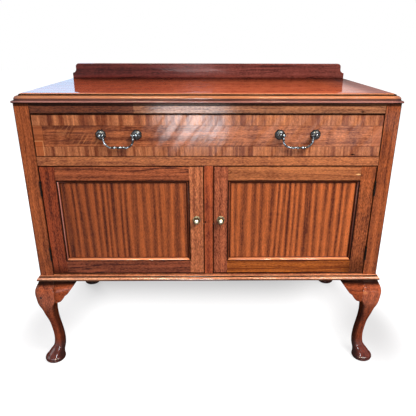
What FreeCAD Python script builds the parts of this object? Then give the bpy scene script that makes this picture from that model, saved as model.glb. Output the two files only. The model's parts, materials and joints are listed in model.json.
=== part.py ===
import FreeCAD, Part
import os
from math import cos, pi, sin, sqrt

# A mahogany sideboard on four cabriole legs: one long drawer over two panelled
# doors, a moulded top with a low gallery along its back edge.
# Millimetres. The origin is on the floor under the middle of the cabinet,
# X to the right, Y to the back and Z up. The doors and drawer open towards -Y.

Vec = FreeCAD.Vector

# Carcase
carcase_width = 1060
carcase_depth = 520
carcase_height = 547
leg_height = 309
post_size = 42
top_rail_height = 28
middle_rail_height = 28
bottom_rail_height = 21
drawer_opening_height = 120
muntin_width = 27
muntin_stop_width = 47
muntin_stop_depth = 12
tenon_length = 11
tenon_shoulder = 5
front_tenon_cheek = 9
mortise_room = 0.5
stub_tenon_length = 8
stub_tenon_width = 14
overrun = 5

# Sides and back
side_rail_height = 60
side_rail_thickness = 20
side_panel_thickness = 8
side_panel_setback = 8
panel_groove_depth = 8
back_rail_depth = 20
back_top_rail_height = 40
back_tenon_cheek = 4
back_tenon_wall = 1
back_panel_thickness = 6
back_rebate_width = 8

# Floor of the cupboard, dust board and shelf
bottom_board_thickness = 12
bottom_rebate_depth = 8
bottom_groove_depth = 6
dust_board_thickness = 6
dust_groove_depth = 6
shelf_thickness = 14
shelf_rise = 182
shelf_front_setback = 55
shelf_play = 0.3
bearer_height = 16
bearer_width = 16
back_bearer_end_gap = 18

# Drawer runners, kickers and stops
runner_width = 20
guide_height = 30
kicker_width = 42
stop_height = 5
stop_depth = 6
stop_length = 40
stop_spread = 300
stop_play = 0.5

# Top board and gallery
top_thickness = 24.5
top_overhang = 4
top_edge_width = 23.4
gallery_height = 53
gallery_thickness = 17
gallery_half_length = 508
gallery_lower_height = 20
gallery_step_width = 13
gallery_step_height = 14
gallery_corner_radius = 12
gallery_edge_radius = 2
gallery_seat_depth = 2
dowel_radius = 4
dowel_length = 32
gallery_dowel_pitch = 300
gallery_dowel_count = 4
screw_shank_radius = 2.2
screw_head_radius = 4.2
screw_head_height = 3
screw_head_rim = 0.6
screw_length = 36
screw_counterbore = 8
screw_play = 0.05
screws_per_kicker = 3
screw_end_inset = 70

# Moulding round the foot of the carcase
base_moulding_height = 15
base_moulding_width = 11

# Legs and knee brackets
knee_projection = 23.7
ankle_level = 62
foot_radius = 32.7
foot_centre_inset = 5.4
foot_pad_height = 14
leg_dowel_radius = 7.5
leg_dowel_length = 30
leg_dowel_play = 0.1
bracket_width = 72
bracket_drop = 73
bracket_thickness = 22

# Doors
door_thickness = 20
door_setback = 0.5
door_side_gap = 2
door_end_gap = 2
hinge_stile_width = 44
closing_stile_width = 41.5
door_rail_height = 43
door_panel_thickness = 6
door_panel_recess = 8
door_groove_depth = 7
door_tenon_length = 25
door_tenon_shoulder = 8
door_moulding_width = 9
door_moulding_height = 7.5

# Door hinges
hinge_length = 44
hinge_knuckle_radius = 3
hinge_knuckle_count = 5
hinge_knuckle_gap = 0.2
hinge_leaf_width = 14
hinge_leaf_thickness = 1.5
hinge_leaf_gap = 0.3
hinge_pin_radius = 1.25
hinge_pin_play = 0.05
hinge_pin_head_radius = 2.4
hinge_pin_head_height = 1.2
hinge_proud = 2
hinge_pocket_play = 0.3
upper_hinge_inset = 44.5
lower_hinge_inset = 45.5

# Door knobs
knob_rise = 183
knob_radius = 10.2
knob_reach = 24
knob_neck_radius = 4
knob_rose_radius = 11.7
knob_rose_thickness = 2.2
knob_stem_radius = 2.5
knob_bore_play = 0.05
knob_nut_width = 9
knob_nut_height = 4
knob_stem_end = 2

# Ball catches in the closing edges of the doors
catch_rise = 165.5
catch_ball_radius = 3
catch_ball_proud = 1.8
catch_ball_play = 0.1
catch_seat_play = 0.05
catch_barrel_radius = 4.2
catch_barrel_length = 15
catch_barrel_floor = 1.5
catch_plate_radius = 6
catch_plate_thickness = 0.8
catch_bore_play = 0.05
strike_dimple_radius = 2.2
strike_dimple_depth = 0.4

# Drawer
drawer_side_gap = 1.4
drawer_floor_gap = 0.3
drawer_top_gap = 3
drawer_rear_gap = 29.5
drawer_front_thickness = 20
drawer_side_thickness = 11
drawer_side_drop = 1
drawer_back_thickness = 10
drawer_back_inset = 6
drawer_back_drop = 16
drawer_housing_depth = 4
drawer_bottom_thickness = 6
drawer_bottom_rise = 8
drawer_groove_depth = 5
dovetail_length = 13
dovetail_count = 4
dovetail_wide = 17
dovetail_narrow = 12

# Drawer handles
handle_spread = 250
handle_rise = 62
rosette_spacing = 100
rosette_radius = 15
rosette_height = 9
rosette_flat_height = 8
rosette_lobes = 8
rosette_lobe_depth = 1.4
handle_pivot_reach = 13
handle_ball_radius = 5.5
handle_neck_radius = 4.2
handle_bolt_radius = 2.5
handle_bolt_play = 0.05
handle_bolt_end = 2
handle_nut_width = 9
handle_nut_height = 4
handle_pin_radius = 2
handle_pin_play = 0.05
handle_button_radius = 3
handle_button_thickness = 2
handle_button_gap = 1
bail_arm_inset = 9
bail_eye_radius = 4.2
bail_eye_width = 5
bail_rod_radius = 2.7
bail_knop_drop = 12
bail_knop_radius = 3.9
bail_bend_radius = 22
bail_bead_radius = 3.9

# Outline of the top board's edge: how far in from the tip, as a share of
# top_edge_width, and how far down, as a share of top_thickness. A point called
# middle is halfway along an arc, and the others are joined by straight lines.
top_edge_shares = {
    "arris": (1.00, 0.00),
    "shoulder": (0.73, 0.095),
    "step_foot": (0.715, 0.21),
    "ovolo_start": (0.655, 0.22),
    "ovolo_middle": (0.39, 0.32),
    "ovolo_end": (0.285, 0.56),
    "cove_middle": (0.275, 0.67),
    "quirk": (0.20, 0.735),
    "bead_middle": (0.00, 0.875),
    "foot": (0.11, 1.00),
}

# The same for the base moulding, of base_moulding_width and base_moulding_height
base_edge_shares = {
    "arris": (1.00, 0.00),
    "shoulder": (0.66, 0.05),
    "step_foot": (0.63, 0.36),
    "ovolo_start": (0.55, 0.39),
    "ovolo_middle": (0.20, 0.50),
    "ovolo_end": (0.05, 0.76),
    "foot": (0.05, 1.00),
}

# Sections of a leg from the carcase down to the ankle: level as a share of the
# way from ankle_level up to leg_height, outer face as a share of
# knee_projection, inner face as a share of post_size, and the radii of the
# outer, side and inner corners as shares of half the section's width
leg_section_shares = [
    (1.000, 0.08, 1.050, 0.25, 0.06, 0.06),
    (0.943, 0.55, 1.050, 0.42, 0.06, 0.06),
    (0.883, 0.86, 1.050, 0.54, 0.06, 0.06),
    (0.822, 1.00, 1.050, 0.62, 0.08, 0.06),
    (0.761, 0.99, 1.050, 0.68, 0.12, 0.10),
    (0.704, 0.94, 0.960, 0.74, 0.20, 0.20),
    (0.640, 0.81, 0.800, 0.80, 0.34, 0.34),
    (0.559, 0.53, 0.735, 0.84, 0.52, 0.50),
    (0.478, 0.34, 0.736, 0.87, 0.66, 0.62),
    (0.397, 0.12, 0.765, 0.90, 0.76, 0.72),
    (0.316, -0.055, 0.810, 0.92, 0.84, 0.80),
    (0.235, -0.150, 0.870, 0.93, 0.89, 0.86),
    (0.154, -0.220, 0.922, 0.94, 0.92, 0.90),
    (0.073, -0.235, 0.953, 0.95, 0.94, 0.93),
    (0.000, -0.180, 0.955, 0.95, 0.95, 0.94),
]

# Sections of the instep: level as a share of the way from the top of the pad up
# to ankle_level, and how far the section's centre and its half width have moved
# from those of the ankle to those of the pad
instep_shares = [
    (0.66, 0.17, 0.12),
    (0.45, 0.44, 0.32),
    (0.22, 0.75, 0.62),
    (0.00, 1.00, 1.00),
]
foot_corner_share = 0.96
foot_floor_share = 0.80
foot_top_share = 0.955

# Outline of a knee bracket: along from the leg as a share of bracket_width, and
# down from the carcase as a share of bracket_drop
bracket_shares = {
    "tip": (1.00, 0.00),
    "tip_under": (0.985, 0.045),
    "upper_middle": (0.80, 0.285),
    "nose": (0.555, 0.60),
    "notch": (0.43, 0.685),
    "lower_middle": (0.325, 0.845),
    "heel": (0.21, 0.96),
    "foot": (0.00, 1.00),
}
bracket_tip_bulge_share = 0.45

# Moulding in the door: in from the frame as a share of door_moulding_width, and
# up from the panel as a share of door_moulding_height
door_moulding_shares = {
    "back_top": (0.00, 1.00),
    "fillet": (0.14, 1.00),
    "ovolo_start": (0.18, 0.86),
    "ovolo_middle": (0.62, 0.66),
    "ovolo_end": (0.84, 0.22),
    "toe": (1.00, 0.14),
    "toe_foot": (1.00, 0.00),
}

# A bail's bottom run, from its middle to the bend: place along as a share of the
# half length of the run, and radius as a share of bail_bead_radius
bail_run_shares = [
    (0.00, 1.00),
    (0.12, 0.94),
    (0.26, 0.68),
    (0.36, 0.56),
    (0.46, 0.74),
    (0.62, 0.98),
    (0.78, 0.98),
    (0.92, 0.82),
]

# Levels and planes that the pieces share
side_plane = carcase_width / 2
front_plane = -carcase_depth / 2
back_plane = carcase_depth / 2
post_inner = side_plane - post_size
front_post_back = front_plane + post_size
rear_post_front = back_plane - post_size
carcase_bottom = leg_height
carcase_top = carcase_bottom + carcase_height
bottom_rail_top = carcase_bottom + bottom_rail_height
drawer_opening_top = carcase_top - top_rail_height
middle_rail_top = drawer_opening_top - drawer_opening_height
middle_rail_bottom = middle_rail_top - middle_rail_height
top_surface = carcase_top + top_thickness
side_rail_inner = side_plane - side_rail_thickness
side_panel_outer = side_plane - side_panel_setback
side_panel_inner = side_panel_outer - side_panel_thickness
side_bottom_rail_top = carcase_bottom + side_rail_height
side_top_rail_bottom = carcase_top - side_rail_height
back_panel_front = back_plane - back_panel_thickness
back_top_rail_bottom = carcase_top - back_top_rail_height
door_front = front_plane + door_setback
door_back = door_front + door_thickness
door_hinge_edge = post_inner - door_side_gap
door_closing_edge = muntin_width / 2 + door_side_gap
door_bottom = bottom_rail_top + door_end_gap
door_top = middle_rail_bottom - door_end_gap
hinge_axis_x = post_inner - door_side_gap / 2
hinge_axis_y = front_plane - hinge_proud
handle_level = middle_rail_top + handle_rise
handle_pivot_y = front_plane + door_setback - handle_pivot_reach


def block(x0, x1, y0, y1, z0, z1):
    """A box between two corners, given in any order."""
    low = Vec(min(x0, x1), min(y0, y1), min(z0, z1))
    return Part.makeBox(abs(x1 - x0), abs(y1 - y0), abs(z1 - z0), low)


def rod(radius, start, end):
    """A round bar from one point to another."""
    line = end - start
    return Part.makeCylinder(radius, line.Length, start, line)


def mirror_x(shape):
    return shape.mirror(Vec(0, 0, 0), Vec(1, 0, 0))


def mirror_y(shape):
    return shape.mirror(Vec(0, 0, 0), Vec(0, 1, 0))


def joined(first, *others):
    """One solid from touching or overlapping ones, without seams."""
    return first.fuse(list(others)).removeSplitter().Solids[0]


def without(shape, cutters):
    """The shape less every cutter, as a single solid."""
    return shape.cut(list(cutters)).removeSplitter().Solids[0]


def prism(edges, along):
    """A solid from a closed outline of edges, pushed along a vector."""
    return Part.Face(Part.Wire(Part.__sortEdges__(edges))).extrude(along)


def polygon(points):
    """The edges of a closed outline with straight sides."""
    return [Part.makeLine(a, b) for a, b in zip(points, points[1:] + points[:1])]


def arc(start, middle, end):
    return Part.Arc(start, middle, end).toShape()


def turned(edges, centre, axis):
    """A solid turned about an axis from a closed half outline."""
    return Part.Face(Part.Wire(Part.__sortEdges__(edges))).revolve(centre, axis, 360).Solids[0]


def hexagon_nut(width, height, bore, centre, axis):
    """A plain hexagonal nut whose underside is at centre, its bore along axis."""
    axis = axis.normalize()
    side = axis.cross(Vec(0, 0, 1)).normalize()
    up = axis.cross(side)
    reach = width / sqrt(3)
    corners = []
    for i in range(6):
        angle = i * pi / 3
        corners.append(centre + side * (reach * cos(angle)) + up * (reach * sin(angle)))
    nut = prism(polygon(corners), axis * height)
    return nut.cut(rod(bore, centre - axis * overrun, centre + axis * (height + overrun))).Solids[0]


def save(name, *solids):
    """Write one piece, or one group of like pieces, to its own file."""
    shape = solids[0] if len(solids) == 1 else Part.makeCompound(list(solids))
    for solid in shape.Solids:
        if not solid.isValid() or solid.Volume <= 0:
            raise ValueError("bad solid in " + name)
    shape.exportStep("parts/" + name + ".step")


# Joints of the carcase. A tenon is drawn once and is also what cuts its mortise.

def front_tenon(z0, z1, room=0):
    """The right-hand tenon of a front rail, or the space cut for it."""
    return block(post_inner, post_inner + tenon_length + room,
                 front_plane + front_tenon_cheek, front_post_back - front_tenon_cheek,
                 z0 + tenon_shoulder, z1 - tenon_shoulder)


def back_tenon(z0, z1, room=0):
    """The right-hand tenon of a back rail, clear of the back panel's rebate."""
    return block(post_inner, post_inner + tenon_length + room,
                 back_plane - back_rail_depth + back_tenon_cheek,
                 back_panel_front - back_tenon_wall,
                 z0 + tenon_shoulder, z1 - tenon_shoulder)


def side_tenon(z0, z1, room=0):
    """The rear tenon of a side rail."""
    return block(side_rail_inner + tenon_shoulder, side_plane - tenon_shoulder,
                 rear_post_front, rear_post_front + tenon_length + room, z0, z1)


bottom_side_tenon_levels = (carcase_bottom + tenon_shoulder,
                            side_bottom_rail_top - panel_groove_depth)
top_side_tenon_levels = (side_top_rail_bottom + panel_groove_depth,
                         carcase_top - tenon_shoulder)


def side_panel():
    """Right side panel, held in grooves on all four sides."""
    return block(side_panel_inner, side_panel_outer,
                 front_post_back - panel_groove_depth, rear_post_front + panel_groove_depth,
                 side_bottom_rail_top - panel_groove_depth,
                 side_top_rail_bottom + panel_groove_depth)


def bottom_board():
    """Floor of the cupboard, notched round the four posts."""
    board = block(-side_rail_inner - bottom_groove_depth, side_rail_inner + bottom_groove_depth,
                  front_post_back - bottom_rebate_depth,
                  back_plane - back_rail_depth + bottom_rebate_depth,
                  bottom_rail_top - bottom_board_thickness, bottom_rail_top)
    notches = []
    for side in (-1, 1):
        for y0, y1 in ((front_plane, front_post_back), (rear_post_front, back_plane)):
            notches.append(block(side * post_inner, side * side_plane, y0, y1,
                                 carcase_bottom, carcase_top))
    return without(board, notches)


def dust_board():
    """Thin board that closes the cupboard from the drawer."""
    middle = (middle_rail_top + middle_rail_bottom) / 2
    reach = post_inner - runner_width + dust_groove_depth
    return block(-reach, reach, front_post_back - dust_groove_depth, rear_post_front,
                 middle - dust_board_thickness / 2, middle + dust_board_thickness / 2)


def back_panel():
    """Plywood back, let in flush behind the posts and the back rails."""
    reach = post_inner + back_rebate_width
    return block(-reach, reach, back_panel_front, back_plane,
                 bottom_rail_top - back_rebate_width, back_top_rail_bottom + back_rebate_width)


def muntin_tenon(z_shoulder, direction, room=0):
    """Stub tenon at the head or foot of the centre muntin."""
    return block(-stub_tenon_width / 2, stub_tenon_width / 2,
                 front_plane + tenon_shoulder, door_back - tenon_shoulder,
                 z_shoulder, z_shoulder + direction * (stub_tenon_length + room))


def leg_dowel(play=0, room=0):
    """Dowel turned on the head of the rear right leg, or the bore for it."""
    centre = side_plane - post_size / 2
    depth = back_plane - post_size / 2
    return rod(leg_dowel_radius + play, Vec(centre, depth, carcase_bottom),
               Vec(centre, depth, carcase_bottom + leg_dowel_length + room))


# Door hinges, drawn for the right-hand door. Each has five knuckles: three on
# the leaf let into the post and two on the leaf let into the door.

hinge_foot_levels = (door_bottom + lower_hinge_inset,
                     door_top - upper_hinge_inset - hinge_length)
knuckle_pitch = hinge_length / hinge_knuckle_count


def hinge_axis_point(z):
    return Vec(hinge_axis_x, hinge_axis_y, z)


def hinge_leaf(foot, outward, first_knuckle):
    """One leaf with its knuckles. outward is 1 for the post's and -1 for the door's."""
    near = hinge_axis_x + outward * hinge_leaf_gap / 2
    far = near + outward * hinge_leaf_thickness
    leaf = block(near, far, hinge_axis_y, front_plane + hinge_leaf_width, foot, foot + hinge_length)
    knuckles = []
    clearances = []
    for i in range(hinge_knuckle_count):
        low = foot + i * knuckle_pitch
        high = low + knuckle_pitch
        if i % 2 == first_knuckle:
            low += hinge_knuckle_gap / 2
            high -= hinge_knuckle_gap / 2
            knuckles.append(rod(hinge_knuckle_radius, hinge_axis_point(low), hinge_axis_point(high)))
        else:
            clearances.append(rod(hinge_knuckle_radius + hinge_knuckle_gap,
                                  hinge_axis_point(low), hinge_axis_point(high)))
    bore = rod(hinge_pin_radius + hinge_pin_play,
               hinge_axis_point(foot - overrun), hinge_axis_point(foot + hinge_length + overrun))
    return without(joined(leaf.cut(clearances).Solids[0], *knuckles), [bore])


def hinge_pocket(foot, outward, edge, face):
    """Wood cut away for one leaf and for the knuckles beside it."""
    far = hinge_axis_x + outward * (hinge_leaf_gap / 2 + hinge_leaf_thickness)
    shelf = block(edge - outward * overrun, far, face - overrun, front_plane + hinge_leaf_width,
                  foot, foot + hinge_length)
    room = hinge_pin_head_height + hinge_pocket_play
    barrel = rod(hinge_knuckle_radius + hinge_pocket_play,
                 hinge_axis_point(foot - room), hinge_axis_point(foot + hinge_length + room))
    return shelf.fuse(barrel)


def hinge_pin(foot):
    """Pin with a flat head at each end."""
    head = foot + hinge_length
    return joined(
        rod(hinge_pin_radius, hinge_axis_point(foot - hinge_pin_head_height), hinge_axis_point(head)),
        rod(hinge_pin_head_radius, hinge_axis_point(head),
            hinge_axis_point(head + hinge_pin_head_height)),
        rod(hinge_pin_head_radius, hinge_axis_point(foot - hinge_pin_head_height),
            hinge_axis_point(foot)))


def post_hinge_pockets():
    return [hinge_pocket(foot, 1, post_inner, front_plane) for foot in hinge_foot_levels]


# Posts and rails

def front_post():
    """Right front post with its mortises, groove, hinge pockets and dowel bore."""
    post = block(post_inner, side_plane, front_plane, front_post_back, carcase_bottom, carcase_top)
    cutters = [
        front_tenon(carcase_bottom, bottom_rail_top, mortise_room),
        front_tenon(middle_rail_bottom, middle_rail_top, mortise_room),
        front_tenon(drawer_opening_top, carcase_top, mortise_room),
        mirror_y(side_tenon(*bottom_side_tenon_levels, mortise_room)),
        mirror_y(side_tenon(*top_side_tenon_levels, mortise_room)),
        mirror_y(leg_dowel(leg_dowel_play, mortise_room)),
        side_panel(),
    ]
    return without(post, cutters + post_hinge_pockets())


def rear_post():
    """Right rear post with its mortises, groove and rebate for the back panel."""
    post = block(post_inner, side_plane, rear_post_front, back_plane, carcase_bottom, carcase_top)
    return without(post, [
        back_tenon(carcase_bottom, bottom_rail_top, mortise_room),
        back_tenon(back_top_rail_bottom, carcase_top, mortise_room),
        side_tenon(*bottom_side_tenon_levels, mortise_room),
        side_tenon(*top_side_tenon_levels, mortise_room),
        leg_dowel(leg_dowel_play, mortise_room),
        side_panel(),
        back_panel(),
    ])


def front_rail(z0, z1, cutters):
    """A rail across the front with a tenon into each post."""
    rail = block(-post_inner, post_inner, front_plane, front_post_back, z0, z1)
    tenon = front_tenon(z0, z1)
    rail = joined(rail, tenon, mirror_x(tenon))
    return without(rail, cutters) if cutters else rail


def back_rail(z0, z1, cutters):
    rail = block(-post_inner, post_inner, back_plane - back_rail_depth, back_plane, z0, z1)
    tenon = back_tenon(z0, z1)
    return without(joined(rail, tenon, mirror_x(tenon)), cutters)


def side_rail(z0, z1, tenon_levels, cutters):
    """A right side rail with a tenon into each post."""
    rail = block(side_rail_inner, side_plane, front_post_back, rear_post_front, z0, z1)
    tenon = side_tenon(*tenon_levels)
    return without(joined(rail, tenon, mirror_y(tenon)), cutters)


def centre_muntin():
    """Upright between the doors, wider behind so that the doors stop on it."""
    stop_front = door_back + stop_play
    face = block(-muntin_width / 2, muntin_width / 2, front_plane, stop_front,
                 bottom_rail_top, middle_rail_bottom)
    stop = block(-muntin_stop_width / 2, muntin_stop_width / 2,
                 stop_front, stop_front + muntin_stop_depth, bottom_rail_top, middle_rail_bottom)
    muntin = joined(face, stop, muntin_tenon(bottom_rail_top, -1),
                    muntin_tenon(middle_rail_bottom, 1))
    strikes = [catch_strike_blank(), mirror_x(catch_strike_blank())]
    return without(muntin, strikes)


# Runners, kickers, shelf and the top's screws

def drawer_runner():
    """Right runner: the drawer's side slides on its ledge, inside its guide."""
    ledge = block(post_inner - runner_width, side_panel_inner, front_post_back, rear_post_front,
                  middle_rail_bottom, middle_rail_top)
    guide = block(post_inner, side_panel_inner, front_post_back, rear_post_front,
                  middle_rail_top, middle_rail_top + guide_height)
    return without(joined(ledge, guide), [dust_board()])


def top_screw_places():
    """Feet of the right kicker's screws."""
    first = front_post_back + screw_end_inset
    span = rear_post_front - front_post_back - 2 * screw_end_inset
    x = side_rail_inner - kicker_width / 2
    return [Vec(x, first + i * span / (screws_per_kicker - 1), drawer_opening_top)
            for i in range(screws_per_kicker)]


def top_screw(foot, play=0, run_out=0):
    """Countersunk screw up through a kicker into the top, or the hole for it."""
    seat = foot.z + screw_counterbore
    shank = screw_shank_radius + play
    head = screw_head_radius + play
    section = polygon([
        Vec(foot.x, foot.y, seat - run_out),
        Vec(foot.x + head, foot.y, seat - run_out),
        Vec(foot.x + head, foot.y, seat + screw_head_rim),
        Vec(foot.x + shank, foot.y, seat + screw_head_rim + screw_head_height),
        Vec(foot.x + shank, foot.y, seat + screw_length + play),
        Vec(foot.x, foot.y, seat + screw_length + play),
    ])
    return turned(section, foot, Vec(0, 0, 1))


def top_screw_holes():
    holes = [top_screw(foot, screw_play, screw_counterbore + overrun)
             for foot in top_screw_places()]
    return holes + [mirror_x(hole) for hole in holes]


def drawer_kicker():
    """Right kicker, which keeps an open drawer from tipping."""
    kicker = block(side_rail_inner - kicker_width, side_rail_inner,
                   front_post_back, rear_post_front, drawer_opening_top, carcase_top)
    return without(kicker, top_screw_holes())


def drawer_stop(x):
    """Block on the middle rail that the closed drawer front comes up to."""
    front = door_front + drawer_front_thickness + stop_play
    return block(x - stop_length / 2, x + stop_length / 2, front, front + stop_depth,
                 middle_rail_top, middle_rail_top + stop_height)


shelf_bottom = bottom_rail_top + shelf_rise - shelf_thickness
shelf_front = front_plane + shelf_front_setback


def shelf():
    reach = side_panel_inner - shelf_play
    board = block(-reach, reach, shelf_front, back_panel_front - shelf_play,
                  shelf_bottom, shelf_bottom + shelf_thickness)
    notches = [block(side * (post_inner - shelf_play), side * side_plane,
                     rear_post_front - shelf_play, back_plane, shelf_bottom - overrun,
                     shelf_bottom + shelf_thickness + overrun) for side in (-1, 1)]
    return without(board, notches)


def shelf_bearers():
    """Two battens on the side panels and one on the back."""
    side = block(side_panel_inner - bearer_width, side_panel_inner, shelf_front, rear_post_front,
                 shelf_bottom - bearer_height, shelf_bottom)
    reach = post_inner - back_bearer_end_gap
    back = block(-reach, reach, back_panel_front - bearer_width, back_panel_front,
                 shelf_bottom - bearer_height, shelf_bottom)
    return [mirror_x(side), side, back]


# Moulded slabs. The same moulding runs along the front and both ends, so the
# slab is where a slab moulded in front meets one moulded at its ends.

def edge_outline(shares, width, height, place):
    """Edges of a moulding from its arris down to its foot. place maps in and down."""
    p = {name: place(share[0] * width, share[1] * height) for name, share in shares.items()}
    edges = []
    start = "arris"
    middle = None
    for name in list(shares)[1:]:
        if name.endswith("middle"):
            middle = name
        elif middle:
            edges.append(arc(p[start], p[middle], p[name]))
            start, middle = name, None
        else:
            edges.append(Part.makeLine(p[start], p[name]))
            start = name
    return edges, p["arris"], p["foot"]


def moulded_slab(half_width, front, back, low, high, shares, width):
    """A slab with a straight back edge and moulded front and ends."""
    height = high - low
    edges, top, foot = edge_outline(shares, width, height,
                                    lambda i, d: Vec(-half_width, front + i, high - d))
    back_top = Vec(-half_width, back, high)
    back_foot = Vec(-half_width, back, low)
    front_moulded = prism(edges + [Part.makeLine(top, back_top), Part.makeLine(back_top, back_foot),
                                   Part.makeLine(back_foot, foot)], Vec(2 * half_width, 0, 0))
    left, left_top, left_foot = edge_outline(shares, width, height,
                                             lambda i, d: Vec(i - half_width, front, high - d))
    right, right_top, right_foot = edge_outline(shares, width, height,
                                                lambda i, d: Vec(half_width - i, front, high - d))
    end_moulded = prism(left + right + [Part.makeLine(left_top, right_top),
                                        Part.makeLine(left_foot, right_foot)],
                        Vec(0, back - front, 0))
    return front_moulded.common(end_moulded).removeSplitter().Solids[0]


def top_board():
    """Solid top with its moulded edge, bored for screws and dowels and housed for the gallery."""
    board = moulded_slab(side_plane + top_overhang, front_plane - top_overhang, back_plane,
                         carcase_top, top_surface, top_edge_shares, top_edge_width)
    housing = block(-gallery_half_length, gallery_half_length,
                    back_plane - gallery_thickness, back_plane + overrun,
                    top_surface - gallery_seat_depth, top_surface + overrun)
    return without(board, top_screw_holes() + gallery_dowels() + [housing])


def base_mouldings():
    """Planted moulding: a front length mitred to two side lengths."""
    width = base_moulding_width
    slab = moulded_slab(side_plane + width, front_plane - width, back_plane, carcase_bottom,
                        carcase_bottom + base_moulding_height, base_edge_shares, width)
    strip = slab.cut(block(-side_plane, side_plane, front_plane, back_plane + overrun,
                           carcase_bottom - overrun, carcase_top))
    far = width + overrun
    low = carcase_bottom - overrun
    wedge = prism(polygon([
        Vec(-side_plane, front_plane, low),
        Vec(side_plane, front_plane, low),
        Vec(side_plane + far, front_plane - far, low),
        Vec(-side_plane - far, front_plane - far, low),
    ]), Vec(0, 0, base_moulding_height + 2 * overrun))
    front = strip.common(wedge).removeSplitter()
    sides = strip.cut(wedge).removeSplitter()
    return front.Solids + sides.Solids


def gallery_dowels():
    """Dowels between the top and the gallery."""
    first = -gallery_dowel_pitch * (gallery_dowel_count - 1) / 2
    y = back_plane - gallery_thickness / 2
    half = dowel_length / 2
    return [rod(dowel_radius, Vec(first + i * gallery_dowel_pitch, y, top_surface - half),
                Vec(first + i * gallery_dowel_pitch, y, top_surface + half))
            for i in range(gallery_dowel_count)]


def gallery_board():
    """Low board along the back edge, its ends stepped in with a hollow."""
    front = back_plane - gallery_thickness

    def end(side):
        outer = gallery_half_length
        inner = outer - gallery_step_width
        step_foot = top_surface + gallery_lower_height
        step_head = step_foot + gallery_step_height
        top = top_surface + gallery_height
        radius = gallery_corner_radius
        turn = radius * (1 - sqrt(1 / 2))
        hollow = sqrt(1 / 2)
        p = [Vec(side * x, front, z) for x, z in (
            (outer, top_surface - gallery_seat_depth),
            (outer, step_foot),
            (inner + gallery_step_width * (1 - hollow), step_foot + gallery_step_height * (1 - hollow)),
            (inner, step_head),
            (inner, top - radius),
            (inner - turn, top - turn),
            (inner - radius, top))]
        return [Part.makeLine(p[0], p[1]), arc(p[1], p[2], p[3]), Part.makeLine(p[3], p[4]),
                arc(p[4], p[5], p[6])], p[0], p[6]

    left, left_foot, left_top = end(-1)
    right, right_foot, right_top = end(1)
    board = prism(left + right + [Part.makeLine(left_top, right_top),
                                  Part.makeLine(left_foot, right_foot)],
                  Vec(0, gallery_thickness, 0))
    top = top_surface + gallery_height
    crest = [edge for edge in board.Edges
             if abs(edge.CenterOfMass.z - top) < gallery_edge_radius / 2
             and abs(edge.CenterOfMass.y - front) < gallery_edge_radius / 2
             and edge.Length > gallery_half_length]
    board = board.makeFillet(gallery_edge_radius, crest)
    return without(board, gallery_dowels())


# Legs. Each section is a square with four rounded corners, its sides parallel
# to the carcase, so that the leg splays out along its diagonal.

def leg_section(level, centre, half, corner_shares):
    """Closed section of the rear right leg. centre is outward from the carcase's corner."""
    outer_radius, side_radius, inner_radius = [half * share for share in corner_shares]
    x = side_plane + centre
    y = back_plane + centre
    bend = 1 - sqrt(1 / 2)
    edges = []
    last = None
    first = None
    corners = [(1, 1, outer_radius), (-1, 1, side_radius), (-1, -1, inner_radius), (1, -1, side_radius)]
    for sx, sy, radius in corners:
        tip = Vec(x + sx * half, y + sy * half, level)
        along_x = tip - Vec(sx * radius, 0, 0)
        along_y = tip - Vec(0, sy * radius, 0)
        start, end = (along_y, along_x) if sx == sy else (along_x, along_y)
        middle = tip - Vec(sx * radius * bend, sy * radius * bend, 0)
        if last is not None:
            edges.append(Part.makeLine(last, start))
        else:
            first = start
        edges.append(arc(start, middle, end))
        last = end
    edges.append(Part.makeLine(last, first))
    return Part.Wire(edges)


def leg_outer(share):
    return share * knee_projection


def leg_sections():
    """Sections from the head of the leg down to the top of its pad."""
    sections = []
    for level_share, outer_share, inner_share, *corners in leg_section_shares:
        level = ankle_level + level_share * (leg_height - ankle_level)
        outer = leg_outer(outer_share)
        inner = -inner_share * post_size
        sections.append(leg_section(level, (outer + inner) / 2, (outer - inner) / 2, corners))
    ankle_centre = (outer + inner) / 2
    ankle_half = (outer - inner) / 2
    for level_share, centre_share, half_share in instep_shares:
        level = foot_pad_height + level_share * (ankle_level - foot_pad_height)
        centre = ankle_centre + centre_share * (-foot_centre_inset - ankle_centre)
        half = ankle_half + half_share * (foot_radius * foot_top_share - ankle_half)
        sections.append(leg_section(level, centre, half, [foot_corner_share] * 3))
    return sections


def foot_pad():
    """Round pad that the leg stands on."""
    x = side_plane - foot_centre_inset
    y = back_plane - foot_centre_inset
    floor = Vec(x + foot_radius * foot_floor_share, y, 0)
    middle = Vec(x + foot_radius, y, foot_pad_height / 2)
    top = Vec(x + foot_radius * foot_top_share, y, foot_pad_height)
    edges = [
        Part.makeLine(Vec(x, y, 0), floor),
        arc(floor, middle, top),
        Part.makeLine(top, Vec(x, y, foot_pad_height)),
        Part.makeLine(Vec(x, y, foot_pad_height), Vec(x, y, 0)),
    ]
    return turned(edges, Vec(x, y, 0), Vec(0, 0, 1))


def cabriole_leg():
    """Rear right leg with its dowel. Its inner faces are planed flat for the brackets."""
    shaft = Part.makeLoft(leg_sections(), True, False)
    far = knee_projection + overrun
    keep = block(post_inner, side_plane + far, rear_post_front, back_plane + far,
                 ankle_level, leg_height)
    upper = shaft.common(keep)
    lower = shaft.cut(block(-side_plane, side_plane + far, -back_plane, back_plane + far,
                            ankle_level, leg_height + overrun))
    return joined(upper.fuse(lower), foot_pad(), leg_dowel())


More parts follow.
